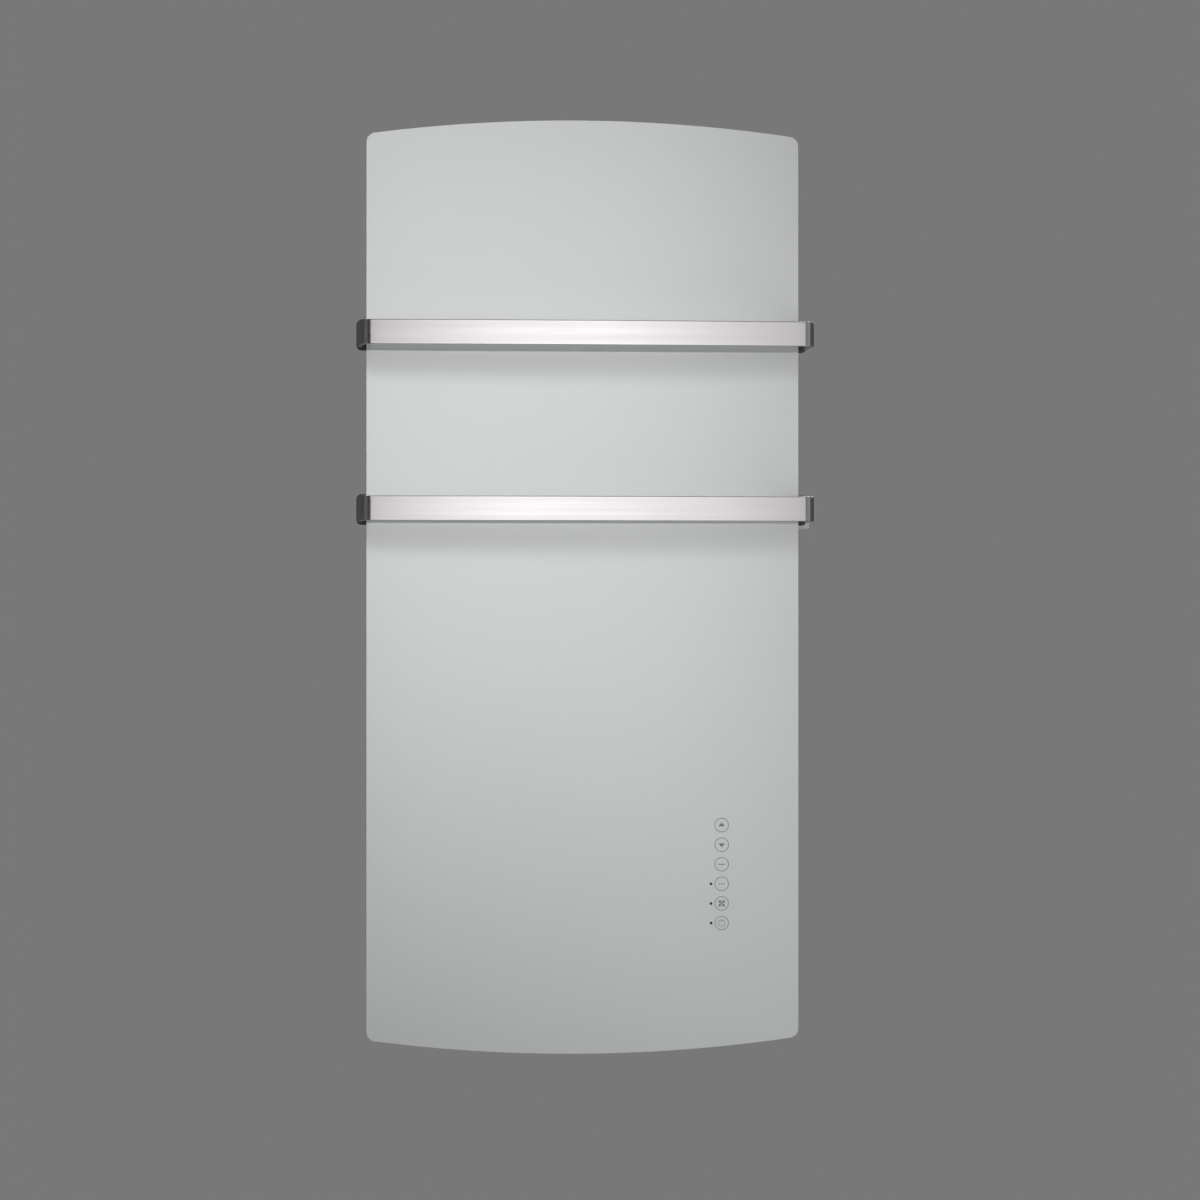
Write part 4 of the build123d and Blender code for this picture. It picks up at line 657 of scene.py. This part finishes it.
bpy.ops.object.mode_set(mode="OBJECT")
ease(glass, ARRIS, 3, 60)


def enamelled_glass(name):
    """Enamel seen through clear glass: an even colour under a smooth clear face."""
    material, place = new_finish(name)
    clouds = place.noise(5, 3.0)
    specks = place.noise(1800, 2.0)
    tone = (clouds * 0.8 + specks * 0.2).span(0.3, 0.7)
    colour = tone.mix((0.545, 0.585, 0.572, 1), (0.565, 0.602, 0.588, 1))
    place.surface(Base_Color=colour, Roughness=clouds * 0.1 + 0.40, Coat_Weight=1.0, Coat_Roughness=0.02,
                  Coat_IOR=1.97, Specular_IOR_Level=0.2)
    return material


def polished_rim_painted_glow(name):
    """The ground edge: the glass's own green, painted paler as a glow of light caught in the polished edge.
    """
    material, place = new_finish(name)
    grind = place.noise(900, 3.0)
    # Painted glow: the rim is paler than the enamel to stand for light caught inside the polished edge.
    colour = grind.span(0.3, 0.7).mix((0.50, 0.60, 0.57, 1), (0.66, 0.74, 0.71, 1))
    place.surface(Base_Color=colour, Roughness=grind * 0.12 + 0.06, Coat_Weight=1.0, Coat_Roughness=0.03,
                  Normal=place.bump(grind, 0.00001))
    return material


enamel = enamelled_glass("enamelled_glass")
rim = polished_rim_painted_glow("polished_rim_painted_glow")
glass.data.materials.clear()
glass.data.materials.append(enamel)
glass.data.materials.append(rim)
for face in glass.data.polygons:
    face.material_index = 0 if abs(face.normal.y) > 0.999 else 1
finish_piece(glass, "glass_front", None, stands_for=("glass_panel",))


# Key print: dark grey ceramic ink fired on the glass, six rings with plain signs in
# them, and three small black windows for the indicator lights.

INK_T = 0.00006
RING_R = 0.0070
RING_W = 0.0007
KEY_X = 0.142
KEY_TOP_Z = -0.493
KEY_PITCH = 0.020
KEYS = 6
WINDOW_R = 0.00145
WINDOW_OUT = 0.011
SIGN_W = 0.0072
ARROW_FLAT = 0.62
BLADE_R = 0.00135
BLADE_AT = 0.0019
HUB_R = 0.00108
STROKE_W = 0.0006
STROKE_H = 0.00288
STROKE_RISE = 0.002016
DASH_H = 0.0009
DOT_W = 0.00144
DOT_H = 0.00117


def flat_disc(x, z, radius, corners=48):
    """A disc of ink on the glass, as a flat face that looks out of the wall."""
    bpy.ops.mesh.primitive_circle_add(vertices=corners, radius=radius, fill_type="NGON",
                                      location=(x, glass_low.y, z), rotation=(pi / 2, 0, 0))
    piece = bpy.context.object
    bpy.ops.object.transform_apply(location=True, rotation=True, scale=True)
    return piece


def thicken(piece):
    """Raise flat ink into a thin closed layer."""
    pick_up(piece)
    bpy.ops.object.mode_set(mode="EDIT")
    bpy.ops.mesh.select_all(action="SELECT")
    extrude((0, -INK_T, 0))
    bpy.ops.mesh.select_all(action="SELECT")
    bpy.ops.mesh.normals_make_consistent(inside=False)
    bpy.ops.object.mode_set(mode="OBJECT")
    return piece


def ring(x, z, radius, width):
    piece = flat_disc(x, z, radius)
    bpy.ops.object.mode_set(mode="EDIT")
    bpy.ops.mesh.select_all(action="SELECT")
    bpy.ops.mesh.inset(thickness=width)
    bpy.ops.mesh.delete(type="FACE")
    bpy.ops.object.mode_set(mode="OBJECT")
    return thicken(piece)


def bar_sign(x, z, width, height):
    return box_between((x - width / 2, glass_low.y - INK_T, z - height / 2),
                       (x + width / 2, glass_low.y, z + height / 2))


def arrow_sign(x, z, direction):
    """A flat arrowhead that points up or down."""
    piece = flat_disc(x, z, SIGN_W / 2 / cos(radians(30)), 3)
    for point in piece.data.vertices:
        point.co.z = z + (point.co.z - z) * ARROW_FLAT * direction
    return thicken(piece)


def fan_sign(x, z):
    """Four round blades about a hub."""
    places = [(x + i * BLADE_AT, z + j * BLADE_AT) for i in (-1, 1) for j in (-1, 1)]
    blades = [thicken(flat_disc(blade_x, blade_z, BLADE_R, 24)) for blade_x, blade_z in places]
    return blades + [thicken(flat_disc(x, z, HUB_R, 24))]


def power_sign(x, z):
    """A small ring with a stroke at its top."""
    return [ring(x, z, SIGN_W / 2, STROKE_W), bar_sign(x, z + STROKE_RISE, STROKE_W, STROKE_H)]


heights = [KEY_TOP_Z - i * KEY_PITCH for i in range(KEYS)]
ink = [ring(KEY_X, z, RING_R + RING_W / 2, RING_W) for z in heights]
ink.append(arrow_sign(KEY_X, heights[0], 1))
ink.append(arrow_sign(KEY_X, heights[1], -1))
ink.append(bar_sign(KEY_X, heights[2], SIGN_W, DASH_H))
ink += [bar_sign(KEY_X + x, heights[3], DOT_W, DOT_H) for x in (-SIGN_W / 3, 0, SIGN_W / 3)]
ink += fan_sign(KEY_X, heights[4])
ink += power_sign(KEY_X, heights[5])
ink_grey = mottled("ink_grey", (0.17, 0.18, 0.18, 1), (0.22, 0.23, 0.23, 1), 300, (0.3, 0.45),
                   4000, 0.000004)
finish_piece(join(ink), "key_print", ink_grey)
windows = [thicken(flat_disc(KEY_X - WINDOW_OUT, z, WINDOW_R, 32)) for z in heights[-3:]]
window_black = mottled("window_black", (0.006, 0.006, 0.006, 1), (0.014, 0.014, 0.014, 1), 300, (0.1, 0.2),
                       4000, 0.000002)
finish_piece(join(windows), "indicator_windows", window_black)
lens_clear = mottled("lens_clear", (0.05, 0.055, 0.05, 1), (0.09, 0.095, 0.09, 1), 300, (0.08, 0.16),
                     3000, 0.000004)
dress(lens_clear, "led_lenses")
foam = mottled("pad_foam", (0.03, 0.03, 0.032, 1), (0.06, 0.06, 0.062, 1), 700, (0.8, 0.95),
               2600, 0.00015)
dress(foam, "touch_pads")


# Studio: a small pale floor well below the heater and a plain grey background. The
# glass and the bars mirror soft cards, a wide beam from the upper left lights them,
# and low, front and back soft boxes fill the rest.

FLOOR_Z = -1.17
FLOOR_SIZE = 4.0
bpy.ops.mesh.primitive_plane_add(size=FLOOR_SIZE, location=(0, 0, FLOOR_Z))
floor = bpy.context.object
floor.name = "studio_floor"
floor_finish, floor_place = new_finish("studio_floor")
speckle = floor_place.noise(40, 3.0)
floor_place.surface(Base_Color=speckle.mix((0.60, 0.60, 0.59, 1), (0.64, 0.64, 0.63, 1)), Roughness=0.7)
floor.data.materials.append(floor_finish)


def soft_light(name, place, aim, width, height, power):
    """A rectangular soft box that faces its aim, out of the camera's sight."""
    lamp = bpy.data.lights.new(name, "AREA")
    lamp.shape = "RECTANGLE"
    lamp.size = width
    lamp.size_y = height
    lamp.energy = power
    box = bpy.data.objects.new(name, lamp)
    box.location = place
    box.rotation_euler = (Vector(aim) - Vector(place)).to_track_quat("-Z", "Y").to_euler()
    box.visible_camera = False
    bpy.context.scene.collection.objects.link(box)
    return box


# The front card is the bright field that the bars and the glass mirror. It has a core
# and a weaker halo, both wider to the right, and fades up and down.
CARD_AT = Vector((0.6, -3.1, 0.0))
CARD_SIZE = 5.0
CARD_MIDDLE_X = 0.14
CARD_SPREAD_Z = 1.02
CARD_POWER = 3.5
CARD_LEFT = 0.37
CARD_RIGHT = 0.57
HALO_SHARE = 0.28
HALO_LEFT = 0.6
HALO_RIGHT = 1.2
CARD_BRIGHT = 2.65


def fall(offset, left, right):
    """Distance from the middle, measured in one spread to the left and one to the right."""
    return offset.math("MAXIMUM", offset * (1 / right), offset * (-1 / left))


bpy.ops.mesh.primitive_plane_add(size=CARD_SIZE, location=CARD_AT, rotation=(pi / 2, 0, 0))
card = bpy.context.object
card.name = "front_card"
bpy.ops.object.transform_apply(location=True, rotation=True, scale=True)
card_finish, card_place = new_finish("front_card")
card_x = card_place.node("ShaderNodeSeparateXYZ", {}, {0: card_place}, "X")
card_z = card_place.node("ShaderNodeSeparateXYZ", {}, {0: card_place}, "Z")
aside = card_x - CARD_MIDDLE_X
above = card_z * (1 / CARD_SPREAD_Z)
core = card_place.math("POWER", fall(aside, CARD_LEFT, CARD_RIGHT), CARD_POWER)
halo = card_place.math("POWER", fall(aside, HALO_LEFT, HALO_RIGHT), 2.0)
core = card_place.math("EXPONENT", 0 - core)
halo = card_place.math("EXPONENT", 0 - halo)
fade = core * (1 - HALO_SHARE) + halo * HALO_SHARE
fade = fade * card_place.math("EXPONENT", 0 - above * above)
light = card_place.node("ShaderNodeEmission", {},
                        {"Color": (1, 0.985, 0.99, 1), "Strength": fade * CARD_BRIGHT})
card_place.node("ShaderNodeOutputMaterial", {}, {"Surface": light})
card.data.materials.append(card_finish)
card.visible_camera = False
card.visible_shadow = False

# The side cards stand beyond the bends of the bars, where the legs mirror them.
SIDE_CARD_SIZE = 2.2
SIDE_CARDS = (("right_card", (2.1, -1.75, -0.1), 0.34), ("left_card", (-2.8, -1.8, -0.1), 0.16))
for name, place, bright in SIDE_CARDS:
    bpy.ops.mesh.primitive_plane_add(size=SIDE_CARD_SIZE, location=place, rotation=(0, -pi / 2, 0))
    side_card = bpy.context.object
    side_card.name = name
    side_finish, side_place = new_finish(name)
    grey = side_place.node("ShaderNodeEmission", {}, {"Color": (1, 0.99, 0.99, 1), "Strength": bright})
    side_place.node("ShaderNodeOutputMaterial", {}, {"Surface": grey})
    side_card.data.materials.append(side_finish)
    side_card.visible_camera = False
    side_card.visible_shadow = False

# A soft beam from the upper left makes the glow round the bars, and their shadows.
BEAM_AT = Vector((-0.55, -2.47, 1.15))
BEAM_AIM = Vector((-0.20, -0.07, 0.0))
BEAM_POWER = 147
BEAM_ANGLE = radians(20)
BEAM_SOFTNESS = 0.45
beam_data = bpy.data.lights.new("beam", "SPOT")
beam_data.energy = BEAM_POWER
beam_data.spot_size = BEAM_ANGLE
beam_data.spot_blend = 1.0
beam_data.shadow_soft_size = BEAM_SOFTNESS
beam = bpy.data.objects.new("beam", beam_data)
beam.location = BEAM_AT
beam.rotation_euler = (BEAM_AIM - BEAM_AT).to_track_quat("-Z", "Y").to_euler()
bpy.context.scene.collection.objects.link(beam)

# Soft boxes: a low one at the right, kept off the floor by its narrow spread, one in
# front, and one behind for the back. The first two aren't mirrored.
SIDE_SPREAD = radians(110)
side_box = soft_light("side_box", place=(0.6, -0.5, -0.7), aim=(0.1, 0, -0.3),
                      width=0.4, height=0.9, power=0.8)
side_box.data.spread = SIDE_SPREAD
fill_box = soft_light("fill_box", place=(-0.05, -1.6, 0.35), aim=(0.1, 0, -0.1),
                      width=1.0, height=1.0, power=5.0)
for lamp in (beam, side_box, fill_box):
    lamp.visible_glossy = False
soft_light("back_box", place=(0.6, 3.0, 1.2), aim=(0, 0, -0.25), width=1.5, height=1.5, power=60)

# The room: a plain grey where the camera looks past the heater, darker in reflections.
ROOM_GREY = (0.075, 0.074, 0.075, 1)
BACKDROP_GREY = (0.191, 0.188, 0.188, 1)
world = bpy.context.scene.world or bpy.data.worlds.new("studio")
bpy.context.scene.world = world
world.use_nodes = True
world.node_tree.nodes.clear()
air = Wire(world.node_tree, None)
looked_at = air.node("ShaderNodeLightPath", {}, {}, "Is Camera Ray")
backdrop = looked_at.mix(ROOM_GREY, BACKDROP_GREY)
glow = air.node("ShaderNodeBackground", {}, {"Color": backdrop})
air.node("ShaderNodeOutputWorld", {}, {"Surface": glow})
bpy.context.scene.view_settings.view_transform = "Standard"

# Camera: level with the middle of the glass and a little to its left.
CAMERA_DISTANCE = 5.0
CAMERA_AZIMUTH = radians(-6)
CAMERA_RISE = -0.024
AIM = Vector((0.0171, -0.070, -0.2633))
SENSOR = 36.0
FRAME_WIDTH = 1.2222
camera_data = bpy.data.cameras.new("view")
camera_data.sensor_width = SENSOR
camera_data.lens = SENSOR * CAMERA_DISTANCE / FRAME_WIDTH
camera = bpy.data.objects.new("view", camera_data)
camera.location = AIM + Vector((CAMERA_DISTANCE * sin(CAMERA_AZIMUTH),
                                -CAMERA_DISTANCE * cos(CAMERA_AZIMUTH), CAMERA_RISE))
camera.rotation_euler = (AIM - camera.location).to_track_quat("-Z", "Y").to_euler()
bpy.context.scene.collection.objects.link(camera)
bpy.context.scene.camera = camera
